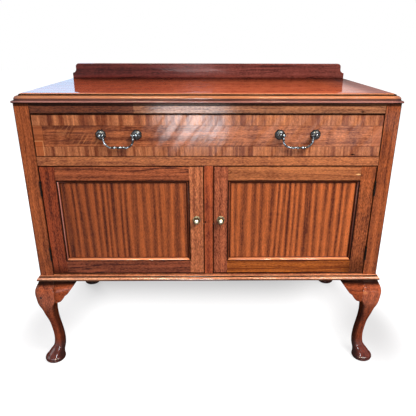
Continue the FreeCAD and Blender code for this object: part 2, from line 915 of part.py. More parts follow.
def knee_bracket(place):
    """A bracket beside a leg. place maps along, outward and z to a point."""

    def section(along, bulge_share):
        points = []
        for level_share, outer_share, *rest in leg_section_shares[:7]:
            level = ankle_level + level_share * (leg_height - ankle_level)
            points.append(place(along, leg_outer(outer_share) * bulge_share, level))
        curve = Part.BSplineCurve()
        curve.interpolate(points)
        foot_level = ankle_level + leg_section_shares[6][0] * (leg_height - ankle_level)
        back_top = place(along, -bracket_thickness, leg_height)
        back_foot = place(along, -bracket_thickness, foot_level)
        return Part.Wire([curve.toShape(), Part.makeLine(points[-1], back_foot),
                          Part.makeLine(back_foot, back_top), Part.makeLine(back_top, points[0])])

    body = Part.makeLoft([section(0, 1), section(bracket_width, bracket_tip_bulge_share)], True, True)
    inner = -bracket_thickness - overrun
    p = {name: place(share[0] * bracket_width, inner, leg_height - share[1] * bracket_drop)
         for name, share in bracket_shares.items()}
    root = place(0, inner, leg_height)
    outline = [
        Part.makeLine(root, p["tip"]),
        Part.makeLine(p["tip"], p["tip_under"]),
        arc(p["tip_under"], p["upper_middle"], p["nose"]),
        Part.makeLine(p["nose"], p["notch"]),
        arc(p["notch"], p["lower_middle"], p["heel"]),
        Part.makeLine(p["heel"], p["foot"]),
        Part.makeLine(p["foot"], root),
    ]
    outward = place(0, knee_projection + overrun, leg_height) - root
    return body.common(prism(outline, outward)).Solids[0]


def lengthwise_bracket():
    """Bracket on the rear right leg's plan that runs along X."""
    return knee_bracket(lambda a, o, z: Vec(post_inner - a, back_plane + o, z))


def side_bracket():
    """Bracket on the rear right leg that runs along Y."""
    return knee_bracket(lambda a, o, z: Vec(side_plane + o, rear_post_front - a, z))


# Doors, drawn for the right-hand door and mirrored for the left

def door_tenon(z0, z1, edge, direction, room=0):
    """Tenon of a door rail into a stile, as thick as the panel's groove."""
    y = door_front + door_panel_recess
    return block(edge, edge + direction * (door_tenon_length + room),
                 y, y + door_panel_thickness, z0, z1)


stile_inner = door_hinge_edge - hinge_stile_width
closing_inner = door_closing_edge + closing_stile_width
door_bottom_rail_top = door_bottom + door_rail_height
door_top_rail_bottom = door_top - door_rail_height
door_rail_tenons = (
    (door_bottom + door_tenon_shoulder, door_bottom_rail_top - door_groove_depth),
    (door_top_rail_bottom + door_groove_depth, door_top - door_tenon_shoulder))


def door_panel():
    y = door_front + door_panel_recess
    return block(closing_inner - door_groove_depth, stile_inner + door_groove_depth,
                 y, y + door_panel_thickness,
                 door_bottom_rail_top - door_groove_depth, door_top_rail_bottom + door_groove_depth)


def hinge_stile():
    stile = block(stile_inner, door_hinge_edge, door_front, door_back, door_bottom, door_top)
    mortises = [door_tenon(z0, z1, stile_inner, 1, mortise_room) for z0, z1 in door_rail_tenons]
    pockets = [hinge_pocket(foot, -1, door_hinge_edge, door_front) for foot in hinge_foot_levels]
    return without(stile, mortises + pockets + [door_panel()])


def closing_stile():
    stile = block(door_closing_edge, closing_inner, door_front, door_back, door_bottom, door_top)
    mortises = [door_tenon(z0, z1, closing_inner, -1, mortise_room) for z0, z1 in door_rail_tenons]
    return without(stile, mortises + [door_panel(), knob_bore(), catch_bore()])


def door_rails():
    rails = []
    levels = ((door_bottom, door_bottom_rail_top), (door_top_rail_bottom, door_top))
    for (z0, z1), tenon_levels in zip(levels, door_rail_tenons):
        rail = block(closing_inner, stile_inner, door_front, door_back, z0, z1)
        rail = joined(rail, door_tenon(*tenon_levels, stile_inner, 1),
                      door_tenon(*tenon_levels, closing_inner, -1))
        rails.append(without(rail, [door_panel()]))
    return rails


def door_moulding(start, end, inward):
    """One mitred length, run from corner to corner of the sunk panel."""
    along = (end - start).normalize()
    out = Vec(0, -1, 0)
    p = {name: start + inward * (share[0] * door_moulding_width)
         + out * (share[1] * door_moulding_height) for name, share in door_moulding_shares.items()}
    root = Vec(start)
    edges = [
        Part.makeLine(root, p["back_top"]),
        Part.makeLine(p["back_top"], p["fillet"]),
        Part.makeLine(p["fillet"], p["ovolo_start"]),
        arc(p["ovolo_start"], p["ovolo_middle"], p["ovolo_end"]),
        Part.makeLine(p["ovolo_end"], p["toe"]),
        Part.makeLine(p["toe"], p["toe_foot"]),
        Part.makeLine(p["toe_foot"], root),
    ]
    length = prism(edges, end - start)
    far = door_moulding_width + overrun
    behind = Vec(0, overrun, 0)
    mitre = prism(polygon([
        start + behind,
        end + behind,
        end + behind + (inward - along) * far,
        start + behind + (inward + along) * far,
    ]), out * (door_moulding_height + 2 * overrun))
    return length.common(mitre).Solids[0]


def door_mouldings():
    """Four lengths of ovolo planted round the panel."""
    y = door_front + door_panel_recess
    corners = [Vec(closing_inner, y, door_bottom_rail_top), Vec(stile_inner, y, door_bottom_rail_top),
               Vec(stile_inner, y, door_top_rail_bottom), Vec(closing_inner, y, door_top_rail_bottom)]
    inward = [Vec(0, 0, 1), Vec(-1, 0, 0), Vec(0, 0, -1), Vec(1, 0, 0)]
    return [door_moulding(corners[i], corners[(i + 1) % 4], inward[i]) for i in range(4)]


# Knobs and ball catches

knob_x = door_closing_edge + closing_stile_width / 2
knob_z = bottom_rail_top + knob_rise


def knob_point(out, rise=0):
    """A point in the knob's section: out from the door's face, rise above its axis."""
    return Vec(knob_x, door_front - out, knob_z + rise)


def knob_bore():
    return rod(knob_stem_radius + knob_bore_play, knob_point(overrun),
               knob_point(-door_thickness - overrun))


def door_knob():
    """Turned ball knob with its rose and stem in one, and the nut inside the door."""
    stem_end = -door_thickness - knob_nut_height - knob_stem_end
    ball_middle = knob_reach - knob_radius
    neck_end = ball_middle - sqrt(knob_radius ** 2 - knob_neck_radius ** 2)
    neck_middle = (knob_rose_thickness + neck_end) / 2
    bend = sqrt(1 / 2)
    rose_edge = knob_rose_thickness / 2
    rim = knob_rose_radius - rose_edge
    hollow = (rim + knob_neck_radius) / 2 - rose_edge
    edges = [
        Part.makeLine(knob_point(stem_end), knob_point(stem_end, knob_stem_radius)),
        Part.makeLine(knob_point(stem_end, knob_stem_radius), knob_point(0, knob_stem_radius)),
        Part.makeLine(knob_point(0, knob_stem_radius), knob_point(0, knob_rose_radius)),
        Part.makeLine(knob_point(0, knob_rose_radius), knob_point(rose_edge, knob_rose_radius)),
        arc(knob_point(rose_edge, knob_rose_radius),
            knob_point(rose_edge * (1 + bend), rim + rose_edge * bend),
            knob_point(knob_rose_thickness, rim)),
        arc(knob_point(knob_rose_thickness, rim), knob_point(neck_middle, hollow),
            knob_point(neck_end, knob_neck_radius)),
        arc(knob_point(neck_end, knob_neck_radius), knob_point(ball_middle, knob_radius),
            knob_point(knob_reach)),
        Part.makeLine(knob_point(knob_reach), knob_point(stem_end)),
    ]
    knob = turned(edges, knob_point(0), Vec(0, 1, 0))
    nut = hexagon_nut(knob_nut_width, knob_nut_height, knob_stem_radius + knob_bore_play,
                      knob_point(-door_thickness), Vec(0, 1, 0))
    return [knob, nut]


catch_y = (door_front + door_back) / 2
catch_z = bottom_rail_top + catch_rise


def catch_point(depth):
    """A point on the catch's axis: depth into the closing edge of the right door."""
    return Vec(door_closing_edge + depth, catch_y, catch_z)


catch_ball_centre = catch_point(catch_ball_radius - catch_ball_proud)


def catch_bore():
    barrel = rod(catch_barrel_radius + catch_bore_play, catch_point(-overrun),
                 catch_point(catch_barrel_length + mortise_room))
    plate = rod(catch_plate_radius + catch_bore_play, catch_point(-overrun),
                catch_point(catch_plate_thickness))
    return barrel.fuse(plate)


def catch_barrel():
    """Barrel with a flush flange. A rounded seat keeps the ball in."""
    body = joined(rod(catch_barrel_radius, catch_point(0), catch_point(catch_barrel_length)),
                  rod(catch_plate_radius, catch_point(0), catch_point(catch_plate_thickness)))
    bore = rod(catch_ball_radius + catch_ball_play, catch_ball_centre,
               catch_point(catch_barrel_length - catch_barrel_floor))
    seat = Part.makeSphere(catch_ball_radius + catch_seat_play, catch_ball_centre)
    return without(body, [bore, seat])


def catch_ball():
    return Part.makeSphere(catch_ball_radius, catch_ball_centre)


def catch_strike_blank():
    """The strike's disc, let in flush with the muntin's edge."""
    face = muntin_width / 2
    return rod(catch_plate_radius, Vec(face - catch_plate_thickness, catch_y, catch_z),
               Vec(face, catch_y, catch_z))


def catch_strike():
    face = muntin_width / 2
    dimple = rod(strike_dimple_radius, Vec(face - strike_dimple_depth, catch_y, catch_z),
                 Vec(face + overrun, catch_y, catch_z))
    return without(catch_strike_blank(), [dimple])


# Drawer

drawer_outer = post_inner - drawer_side_gap
drawer_inner = drawer_outer - drawer_side_thickness
drawer_low = middle_rail_top + drawer_floor_gap
drawer_high = drawer_opening_top - drawer_top_gap
drawer_side_high = drawer_high - drawer_side_drop
drawer_front_inside = door_front + drawer_front_thickness
drawer_end = back_panel_front - drawer_rear_gap
drawer_back_rear = drawer_end - drawer_back_inset


def drawer_bottom():
    """Plywood bottom, slid into grooves from behind under the drawer's back."""
    reach = drawer_inner + drawer_groove_depth
    low = drawer_low + drawer_bottom_rise
    return block(-reach, reach, drawer_front_inside - drawer_groove_depth, drawer_back_rear,
                 low, low + drawer_bottom_thickness)


def drawer_back():
    """Back board, housed in both sides above the bottom."""
    reach = drawer_inner + drawer_housing_depth
    return block(-reach, reach, drawer_back_rear - drawer_back_thickness, drawer_back_rear,
                 drawer_low + drawer_bottom_rise + drawer_bottom_thickness,
                 drawer_side_high - drawer_back_drop)


def dovetails():
    """Tails at the front end of the right side."""
    pitch = (drawer_side_high - drawer_low) / dovetail_count
    tails = []
    for i in range(dovetail_count):
        z = drawer_low + (i + 1 / 2) * pitch
        tails.append(prism(polygon([
            Vec(drawer_inner, drawer_front_inside, z - dovetail_narrow / 2),
            Vec(drawer_inner, drawer_front_inside - dovetail_length, z - dovetail_wide / 2),
            Vec(drawer_inner, drawer_front_inside - dovetail_length, z + dovetail_wide / 2),
            Vec(drawer_inner, drawer_front_inside, z + dovetail_narrow / 2),
        ]), Vec(drawer_side_thickness, 0, 0)))
    return tails


def drawer_side():
    """Right side with its dovetails, groove and housing."""
    side = block(drawer_inner, drawer_outer, drawer_front_inside, drawer_end,
                 drawer_low, drawer_side_high)
    return without(joined(side, *dovetails()), [drawer_bottom(), drawer_back()])


def drawer_front():
    """Front board, lap-dovetailed to the sides and bored for the handles."""
    board = block(-drawer_outer, drawer_outer, door_front, drawer_front_inside,
                  drawer_low, drawer_high)
    tails = dovetails()
    bores = [rod(handle_bolt_radius + handle_bolt_play, Vec(x, door_front - overrun, handle_level),
                 Vec(x, drawer_front_inside + overrun, handle_level)) for x in rosette_places()]
    return without(board, tails + [mirror_x(tail) for tail in tails] + bores + [drawer_bottom()])


# Handles: two cast rosettes, each with a post whose side pin carries the bail

def rosette_places():
    """X of the four rosettes, from left to right."""
    half = rosette_spacing / 2
    return [centre + side * half for centre in (-handle_spread, handle_spread) for side in (-1, 1)]


def rosette_inward(x):
    """The way from a rosette to the middle of its own handle."""
    centre = handle_spread if x > 0 else -handle_spread
    return 1 if centre > x else -1


def rosette(x):
    """Low dome with a scalloped rim."""
    dome_radius = (rosette_radius ** 2 + rosette_height ** 2) / (2 * rosette_height)
    centre = Vec(x, door_front + dome_radius - rosette_height, handle_level)
    dome = Part.makeSphere(dome_radius, centre)
    rim = []
    valley = rosette_radius - rosette_lobe_depth
    for i in range(rosette_lobes):
        start, middle, end = [
            Vec(x + r * cos(a), door_front, handle_level + r * sin(a)) for r, a in (
                (valley, 2 * pi * i / rosette_lobes),
                (rosette_radius, 2 * pi * (i + 1 / 2) / rosette_lobes),
                (valley, 2 * pi * (i + 1) / rosette_lobes))]
        rim.append(arc(start, middle, end))
    disc = prism(rim, Vec(0, -rosette_flat_height, 0))
    bore = rod(handle_bolt_radius + handle_bolt_play, Vec(x, door_front + overrun, handle_level),
               Vec(x, door_front - rosette_height - overrun, handle_level))
    return disc.common(dome).cut(bore).Solids[0]


def handle_post(x):
    """Turned post with its bolt, neck and ball head, and the side pin for the bail."""
    bolt_end = drawer_front_inside + handle_nut_height + handle_bolt_end
    seat = door_front - rosette_flat_height
    neck_end = handle_pivot_y + sqrt(handle_ball_radius ** 2 - handle_neck_radius ** 2)
    crown = handle_pivot_y - handle_ball_radius

    def at(y, radius=0):
        return Vec(x, y, handle_level + radius)

    post = turned([
        Part.makeLine(at(bolt_end), at(bolt_end, handle_bolt_radius)),
        Part.makeLine(at(bolt_end, handle_bolt_radius), at(seat, handle_bolt_radius)),
        Part.makeLine(at(seat, handle_bolt_radius), at(seat, handle_neck_radius)),
        Part.makeLine(at(seat, handle_neck_radius), at(neck_end, handle_neck_radius)),
        arc(at(neck_end, handle_neck_radius), at(handle_pivot_y, handle_ball_radius), at(crown)),
        Part.makeLine(at(crown), at(bolt_end)),
    ], at(seat), Vec(0, 1, 0))
    inward = Vec(rosette_inward(x), 0, 0)
    head = at(handle_pivot_y)
    button_start = head + inward * (bail_arm_inset + bail_eye_width / 2 + handle_button_gap)
    button_end = button_start + inward * handle_button_thickness
    return joined(post, rod(handle_pin_radius, head, button_end),
                  rod(handle_button_radius, button_start, button_end))


def handle_nut(x):
    return hexagon_nut(handle_nut_width, handle_nut_height, handle_bolt_radius + handle_bolt_play,
                       Vec(x, drawer_front_inside, handle_level), Vec(0, 1, 0))


def bail(centre):
    """Drop handle hanging from the side pins, with a knop on each arm and a beaded run."""
    arm = rosette_spacing / 2 - bail_arm_inset
    run = arm - bail_bend_radius
    knop_z = handle_level - bail_knop_drop
    run_z = knop_z - bail_bend_radius

    def at(x, z):
        return Vec(centre + x, handle_pivot_y, z)

    pieces = []
    for side in (-1, 1):
        inner = side * (arm - bail_eye_width / 2)
        outer = side * (arm + bail_eye_width / 2)
        pieces.append(rod(bail_eye_radius, at(inner, handle_level), at(outer, handle_level)))
        pieces.append(rod(bail_rod_radius, at(side * arm, handle_level), at(side * arm, knop_z)))
        pieces.append(Part.makeSphere(bail_knop_radius, at(side * arm, knop_z)))
        ring = Part.Wire(Part.makeCircle(bail_rod_radius, at(side * arm, knop_z), Vec(0, 0, 1)))
        bend = Part.Face(ring).revolve(at(side * run, knop_z), Vec(0, side, 0), 90)
        pieces.append(bend.Solids[0])
    half = [(share * run, radius_share * bail_bead_radius) for share, radius_share in bail_run_shares]
    half.append((run, bail_rod_radius))
    places = [(-x, r) for x, r in reversed(half[1:])] + half
    curve = Part.BSplineCurve()
    curve.interpolate([at(x, run_z + r) for x, r in places])
    ends = [at(-run, run_z), at(run, run_z)]
    first, last = at(-run, run_z + bail_rod_radius), at(run, run_z + bail_rod_radius)
    section = [curve.toShape(), Part.makeLine(last, ends[1]), Part.makeLine(ends[1], ends[0]),
               Part.makeLine(ends[0], first)]
    pieces.append(turned(section, ends[0], Vec(1, 0, 0)))
    bores = [rod(handle_pin_radius + handle_pin_play,
                 at(side * (arm - bail_eye_width), handle_level),
                 at(side * (arm + bail_eye_width), handle_level)) for side in (-1, 1)]
    return without(joined(*pieces), bores)


def both_sides(shape):
    """The left and the right one of a pair."""
    return [mirror_x(shape), shape]


def write_carcase():
    post = front_post()
    save("front_post_left", mirror_x(post))
    save("front_post_right", post)
    save("rear_posts", *both_sides(rear_post()))
    save("top_rail", front_rail(drawer_opening_top, carcase_top, []))
    save("middle_rail", front_rail(middle_rail_bottom, middle_rail_top,
                                   [dust_board(), muntin_tenon(middle_rail_bottom, 1, mortise_room)]))
    save("bottom_rail", front_rail(carcase_bottom, bottom_rail_top,
                                   [bottom_board(), muntin_tenon(bottom_rail_top, -1, mortise_room)]))
    save("centre_muntin", centre_muntin())
    lower = side_rail(carcase_bottom, side_bottom_rail_top, bottom_side_tenon_levels,
                      [side_panel(), bottom_board()])
    upper = side_rail(side_top_rail_bottom, carcase_top, top_side_tenon_levels, [side_panel()])
    save("side_rails", *both_sides(lower), *both_sides(upper))
    save("side_panel_left", mirror_x(side_panel()))
    save("side_panel_right", side_panel())
    save("back_rails",
         back_rail(carcase_bottom, bottom_rail_top, [back_panel(), bottom_board()]),
         back_rail(back_top_rail_bottom, carcase_top, [back_panel()]))
    save("back_panel", back_panel())
    save("bottom_board", bottom_board())
    save("dust_board", dust_board())
    save("drawer_runners", *both_sides(drawer_runner()))
    save("drawer_kickers", *both_sides(drawer_kicker()))
    save("drawer_stops", drawer_stop(-stop_spread), drawer_stop(stop_spread))
    save("shelf", shelf())
    save("shelf_bearers", *shelf_bearers())
    screws = [top_screw(foot) for foot in top_screw_places()]
    save("top_screws", *screws, *[mirror_x(screw) for screw in screws])
    save("top_board", top_board())
    save("gallery_board", gallery_board())
    save("gallery_dowels", *gallery_dowels())
    save("base_mouldings", *base_mouldings())


def write_legs():
    leg = cabriole_leg()
    save("rear_leg_right", leg)
    save("rear_leg_left", mirror_x(leg))
    save("front_leg_right", mirror_y(leg))
    save("front_leg_left", mirror_x(mirror_y(leg)))
    front = mirror_y(lengthwise_bracket())
    save("front_knee_brackets", *both_sides(front))
    side = side_bracket()
    save("side_knee_brackets", *both_sides(side), *both_sides(mirror_y(side)))


def write_doors():
    frame_leaves = [hinge_leaf(foot, 1, 0) for foot in hinge_foot_levels]
    pins = [hinge_pin(foot) for foot in hinge_foot_levels]
    save("hinge_frame_leaves", *frame_leaves, *[mirror_x(leaf) for leaf in frame_leaves])
    save("hinge_pins", *pins, *[mirror_x(pin) for pin in pins])
    save("catch_strikes", *both_sides(catch_strike()))
    pieces = {
        "hinge_stile": [hinge_stile()],
        "closing_stile": [closing_stile()],
        "rails": door_rails(),
        "panel": [door_panel()],
        "mouldings": door_mouldings(),
        "hinge_leaves": [hinge_leaf(foot, -1, 1) for foot in hinge_foot_levels],
        "knob": door_knob(),
        "catch_barrel": [catch_barrel()],
        "catch_ball": [catch_ball()],
    }
    for name, solids in pieces.items():
        save("door_right_" + name, *solids)
        save("door_left_" + name, *[mirror_x(solid) for solid in solids])


def write_drawer():
    save("drawer_front", drawer_front())
    save("drawer_sides", *both_sides(drawer_side()))
    save("drawer_back", drawer_back())
    save("drawer_bottom", drawer_bottom())
    save("handle_rosettes", *[rosette(x) for x in rosette_places()])
    save("handle_posts", *[handle_post(x) for x in rosette_places()])
    save("handle_nuts", *[handle_nut(x) for x in rosette_places()])
    right_bail = bail(handle_spread)
    save("bail_left", mirror_x(right_bail))
    save("bail_right", right_bail)


os.makedirs("parts", exist_ok=True)
write_carcase()
write_legs()
write_doors()
write_drawer()
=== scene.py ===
import json
import math

import bmesh
import bpy
from mathutils import Euler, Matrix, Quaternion, Vector


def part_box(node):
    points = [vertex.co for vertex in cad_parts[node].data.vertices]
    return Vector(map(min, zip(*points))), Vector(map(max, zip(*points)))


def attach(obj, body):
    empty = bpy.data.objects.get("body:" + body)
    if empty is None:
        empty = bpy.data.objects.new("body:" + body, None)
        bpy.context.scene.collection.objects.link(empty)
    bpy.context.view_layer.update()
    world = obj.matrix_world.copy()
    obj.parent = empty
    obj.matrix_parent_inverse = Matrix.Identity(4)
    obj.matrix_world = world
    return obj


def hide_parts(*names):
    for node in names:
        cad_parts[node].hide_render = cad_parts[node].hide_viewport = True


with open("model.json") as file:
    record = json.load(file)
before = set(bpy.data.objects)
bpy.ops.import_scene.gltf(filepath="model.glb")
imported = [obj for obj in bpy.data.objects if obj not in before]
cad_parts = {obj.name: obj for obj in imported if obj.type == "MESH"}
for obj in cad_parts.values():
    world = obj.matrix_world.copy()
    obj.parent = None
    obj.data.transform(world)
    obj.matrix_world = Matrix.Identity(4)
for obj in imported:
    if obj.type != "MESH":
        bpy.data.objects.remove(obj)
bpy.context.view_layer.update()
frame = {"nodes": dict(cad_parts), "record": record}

# The view. The picture was taken from in front, a metre above the floor, with the
# lens tilted down and a little more than a metre from the cabinet's front.
camera_place = (0.0051, -1.4772, 1.0186)
camera_down = math.radians(21.447)
camera_aside = math.radians(0.719)
camera_roll = math.radians(0.149)
picture_pixels = 416
focal_pixels = 438.29
centre_pixel = (215.51, 211.21)

camera_data = bpy.data.cameras.new("camera")
camera_data.sensor_width = 36
camera_data.lens = camera_data.sensor_width * focal_pixels / picture_pixels
camera_data.shift_x = 0.5 - centre_pixel[0] / picture_pixels
camera_data.shift_y = centre_pixel[1] / picture_pixels - 0.5
camera = bpy.data.objects.new("camera", camera_data)
bpy.context.collection.objects.link(camera)
camera.location = camera_place
camera.rotation_mode = "QUATERNION"
camera_aim = Euler((math.pi / 2 - camera_down, 0, -camera_aside)).to_quaternion()
camera.rotation_quaternion = camera_aim @ Quaternion((0, 0, 1), camera_roll)
bpy.context.scene.camera = camera

# The studio: a pale floor, white to the eye but for a painted shade under the case and at the
# feet, soft lamps in front, at the left and behind, and the windows and ceiling lights that the
# polish mirrors.
scene = bpy.context.scene
scene.view_settings.view_transform = "Standard"


def plug(tree, given, socket):
    """Sets a socket to a number or a colour, or links it to another socket."""
    if isinstance(given, bpy.types.NodeSocket):
        tree.links.new(given, socket)
    else:
        socket.default_value = given


def calc(tree, operation, first, second=0.0, clamp=False):
    """One step of arithmetic on sockets or numbers."""
    step = tree.nodes.new("ShaderNodeMath")
    step.operation = operation
    step.use_clamp = clamp
    plug(tree, first, step.inputs[0])
    plug(tree, second, step.inputs[1])
    return step.outputs[0]


def times(tree, first, *others):
    """Several numbers multiplied together."""
    for other in others:
        first = calc(tree, "MULTIPLY", first, other)
    return first


def most(tree, first, *others):
    """The largest of several numbers."""
    for other in others:
        first = calc(tree, "MAXIMUM", first, other)
    return first


def less(tree, first, second):
    """The first number less the second."""
    return calc(tree, "SUBTRACT", first, second)


def left_over(tree, share):
    """What a share leaves of the whole."""
    return less(tree, 1.0, share)


def raised(tree, base, share, more):
    """A base, raised by a share of more."""
    return calc(tree, "ADD", base, times(tree, share, more))


def off(tree, given, place):
    """How far a value lies from a place, to either side."""
    return calc(tree, "ABSOLUTE", less(tree, given, place))


def eased(tree, given, low, high):
    """0 below low, 1 above high, and a smooth rise between them."""
    step = tree.nodes.new("ShaderNodeMapRange")
    step.interpolation_type = "SMOOTHSTEP"
    plug(tree, given, step.inputs["Value"])
    plug(tree, low, step.inputs["From Min"])
    plug(tree, high, step.inputs["From Max"])
    return step.outputs["Result"]


def split(tree, given):
    """The x, y and z of a place or a direction."""
    step = tree.nodes.new("ShaderNodeSeparateXYZ")
    tree.links.new(given, step.inputs[0])
    return step.outputs["X"], step.outputs["Y"], step.outputs["Z"]


def place_parts(tree):
    """The x, y and z of the object's own coordinates."""
    return split(tree, tree.nodes.new("ShaderNodeTexCoord").outputs["Object"])


def seen_directly(tree):
    """1 for what the eye, a polish or a glass sees, 0 for the light on matt things."""
    path = tree.nodes.new("ShaderNodeLightPath").outputs
    return most(tree, path["Is Camera Ray"], path["Is Glossy Ray"], path["Is Transmission Ray"])


world = bpy.data.worlds.new("surround")
world.use_nodes = True
scene.world = world
sky = world.node_tree
sky.nodes.clear()
sky_mix = sky.nodes.new("ShaderNodeMixShader")
sky.links.new(seen_directly(sky), sky_mix.inputs["Fac"])
sky_light = ((0.95, 0.97, 1.0, 1), 0.28)
sky_as_seen = ((1, 1, 1, 1), 1.0)
for socket, (colour, strength) in enumerate((sky_light, sky_as_seen), 1):
    shade = sky.nodes.new("ShaderNodeBackground")
    shade.inputs["Color"].default_value = colour
    shade.inputs["Strength"].default_value = strength
    sky.links.new(shade.outputs[0], sky_mix.inputs[socket])
sky_output = sky.nodes.new("ShaderNodeOutputWorld")
sky.links.new(sky_mix.outputs[0], sky_output.inputs["Surface"])


def lamp(name, place, target, size, power, colour):
    """A rectangular soft lamp that shines from its place to its target."""
    data = bpy.data.lights.new(name, "AREA")
    data.shape = "RECTANGLE"
    data.size, data.size_y = size
    data.energy = power
    data.color = colour
    light = bpy.data.objects.new(name, data)
    light.location = place
    light.rotation_mode = "QUATERNION"
    light.rotation_quaternion = (Vector(target) - Vector(place)).to_track_quat("-Z", "Y")
    light.visible_camera = False
    bpy.context.collection.objects.link(light)
    return light


daylight = (0.95, 0.97, 1.0)
lamplight = (1.0, 0.88, 0.62)
lamp("front_lamp", (1.5, -1.8, 2.7), (0, -0.1, 0.5), (2.0, 1.3), 112, (1.0, 0.97, 0.93))
lamp("left_lamp", (-2.8, -0.5, 1.3), (0, 0, 0.5), (1.2, 1.4), 14, (0.93, 0.96, 1.0))
for mirrored in (
        ("tall_window", (-0.20, -3.6, 0.40), (-0.05, -0.26, 0.80), (0.74, 0.72), 45, daylight),
        ("upper_window", (-0.12, -3.6, 1.50), (-0.05, -0.26, 0.90), (0.28, 0.80), 38,
         (0.82, 0.91, 1.0)),
        ("right_window", (1.3, -3.5, 0.12), (0.3, -0.26, 0.75), (1.9, 0.40), 6, daylight),
        ("left_sky", (-1.75, 2.5, 1.25), (-0.4, 0, 0.88), (1.5, 0.7), 6.5, (0.03, 0.54, 1.0)),
        ("ceiling_left", (-0.48, -2.0, 2.6), (-0.2, -0.26, 0.5), (0.50, 1.1), 64, lamplight),
        ("ceiling_right", (0.50, -2.0, 2.6), (0.2, -0.26, 0.5), (0.25, 0.9), 30, lamplight),
        ("high_window", (-1.15, -1.4, 2.1), (-0.4, -0.26, 0.2), (1.2, 0.8), 14,
         (0.60, 0.78, 1.0))):
    lamp(*mirrored).visible_diffuse = False
back_lamp = lamp("back_lamp", (-1.2, 2.6, 1.9), (0, 0.2, 0.5), (2.0, 1.3), 50, (1.0, 0.98, 0.95))
back_lamp.visible_glossy = False

floor_half_width = 14
floor_mesh = bpy.data.meshes.new("floor")
floor_shape = bmesh.new()
bmesh.ops.create_grid(floor_shape, x_segments=1, y_segments=1, size=floor_half_width)
floor_shape.to_mesh(floor_mesh)
floor_shape.free()
floor = bpy.data.objects.new("floor", floor_mesh)
bpy.context.collection.objects.link(floor)


def new_material(name):
    """An empty material and its node tree."""
    material = bpy.data.materials.new(name)
    material.use_nodes = True
    material.node_tree.nodes.clear()
    return material, material.node_tree


def show(tree, shader):
    """Puts a shader on the material's surface."""
    output = tree.nodes.new("ShaderNodeOutputMaterial")
    tree.links.new(shader.outputs[0], output.inputs["Surface"])


def oval(tree, aside, along, reach):
    """How far a place is from the middle of an oval shade, 1 on its rim."""
    parts = [calc(tree, "POWER", calc(tree, "DIVIDE", out, size), 2.0)
             for out, size in zip((aside, along), reach)]
    return calc(tree, "SQRT", calc(tree, "ADD", *parts))


# The floor's glow is dimmed in an oval under the case and round each foot: a painted shadow,
# beside the real shadow in its matt part.
shade_half_length = 0.45
shade_middle = 0.36
shade_reach = (0.30, 0.40)
foot_place = (0.60, -0.08)
foot_reach = (0.22, 0.42)
paper, tree = new_material("pale_paper")
x, y, z = place_parts(tree)
out_x = calc(tree, "ABSOLUTE", x)
past_end = most(tree, less(tree, out_x, shade_half_length), 0.0)
off_shade = oval(tree, past_end, off(tree, y, shade_middle), shade_reach)
level = raised(tree, 0.38, eased(tree, off_shade, 0.1, 1.0), 0.62)
off_foot = oval(tree, less(tree, out_x, foot_place[0]), less(tree, y, foot_place[1]), foot_reach)
foot_shade = times(tree, eased(tree, off_foot, 1.0, 0.1),
                   raised(tree, 0.34, eased(tree, x, -0.2, 0.2), 0.20))
level = times(tree, level, left_over(tree, foot_shade))
glow = tree.nodes.new("ShaderNodeEmission")
tree.links.new(times(tree, level, seen_directly(tree)), glow.inputs["Strength"])
matt = tree.nodes.new("ShaderNodeBsdfDiffuse")
matt.inputs["Color"].default_value = (0.30, 0.30, 0.31, 1)
both = tree.nodes.new("ShaderNodeAddShader")
tree.links.new(matt.outputs[0], both.inputs[0])
tree.links.new(glow.outputs[0], both.inputs[1])
show(tree, both)
floor_mesh.materials.append(paper)

# The four corner posts, planed square from solid mahogany, stained and French
# polished. Their grain runs upright, and their arrises are just eased.
nodes = frame["nodes"]
body_of_node = {node: body for body, group in frame["record"]["behaviour"]["bodies"].items()
                for node in group}
weld_distance = 0.00001
coplanar_angle = math.radians(0.05)
crease_angle = math.radians(32)
eased_arris = 0.0006


def finished(node, material, arris=eased_arris, flat=True):
    """The node's own shape as one closed skin, with eased arrises and its finish."""
    mesh = bpy.data.meshes.new(node + "_finished")
    shape = bmesh.new()
    shape.from_mesh(nodes[node].data)
    bmesh.ops.remove_doubles(shape, verts=shape.verts, dist=weld_distance)
    if flat:
        bmesh.ops.dissolve_limit(shape, angle_limit=coplanar_angle, verts=shape.verts,
                                 edges=shape.edges)
    shape.to_mesh(mesh)
    shape.free()
    mesh.materials.clear()
    mesh.materials.append(material)
    mesh.shade_smooth()
    mesh.set_sharp_from_angle(angle=crease_angle)
    piece = bpy.data.objects.new(node + "_finished", mesh)
    bpy.context.collection.objects.link(piece)
    if arris:
        bevel = piece.modifiers.new("arris", "BEVEL")
        bevel.width = arris
        bevel.segments = 2
        bevel.limit_method = "ANGLE"
        bevel.angle_limit = crease_angle
        bevel.harden_normals = True
    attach(piece, body_of_node[node])
    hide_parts(node)


def tint(red, green, blue):
    """A colour as the eye reads it, each part from 0 to 255, as light."""
    def light(level):
        share = level / 255
        return share / 12.92 if share <= 0.04045 else ((share + 0.055) / 1.055) ** 2.4

    return (light(red), light(green), light(blue), 1)


def mixed(tree, share, first, second, way="MIX", kind="RGBA"):
    """Two colours, places or numbers mixed, the second one by its share."""
    step = tree.nodes.new("ShaderNodeMix")
    step.data_type = kind
    step.blend_type = way
    plug(tree, share, step.inputs["Factor"])
    plug(tree, first, step.inputs["A"])
    plug(tree, second, step.inputs["B"])
    return step.outputs["Result"]


def vector_calc(tree, operation, first, second):
    """One step of arithmetic on places."""
    step = tree.nodes.new("ShaderNodeVectorMath")
    step.operation = operation
    plug(tree, first, step.inputs[0])
    plug(tree, second, step.inputs[1])
    return step.outputs["Vector"]


def noise(tree, place, along, across, detail=2.0, roughness=0.5):
    """Noise drawn out along X, with so many changes a metre along and across it."""
    texture = tree.nodes.new("ShaderNodeTexNoise")
    tree.links.new(vector_calc(tree, "MULTIPLY", place, (along, across, across)),
                   texture.inputs["Vector"])
    texture.inputs["Scale"].default_value = 1
    texture.inputs["Detail"].default_value = detail
    texture.inputs["Roughness"].default_value = roughness
    return texture.outputs["Fac"]


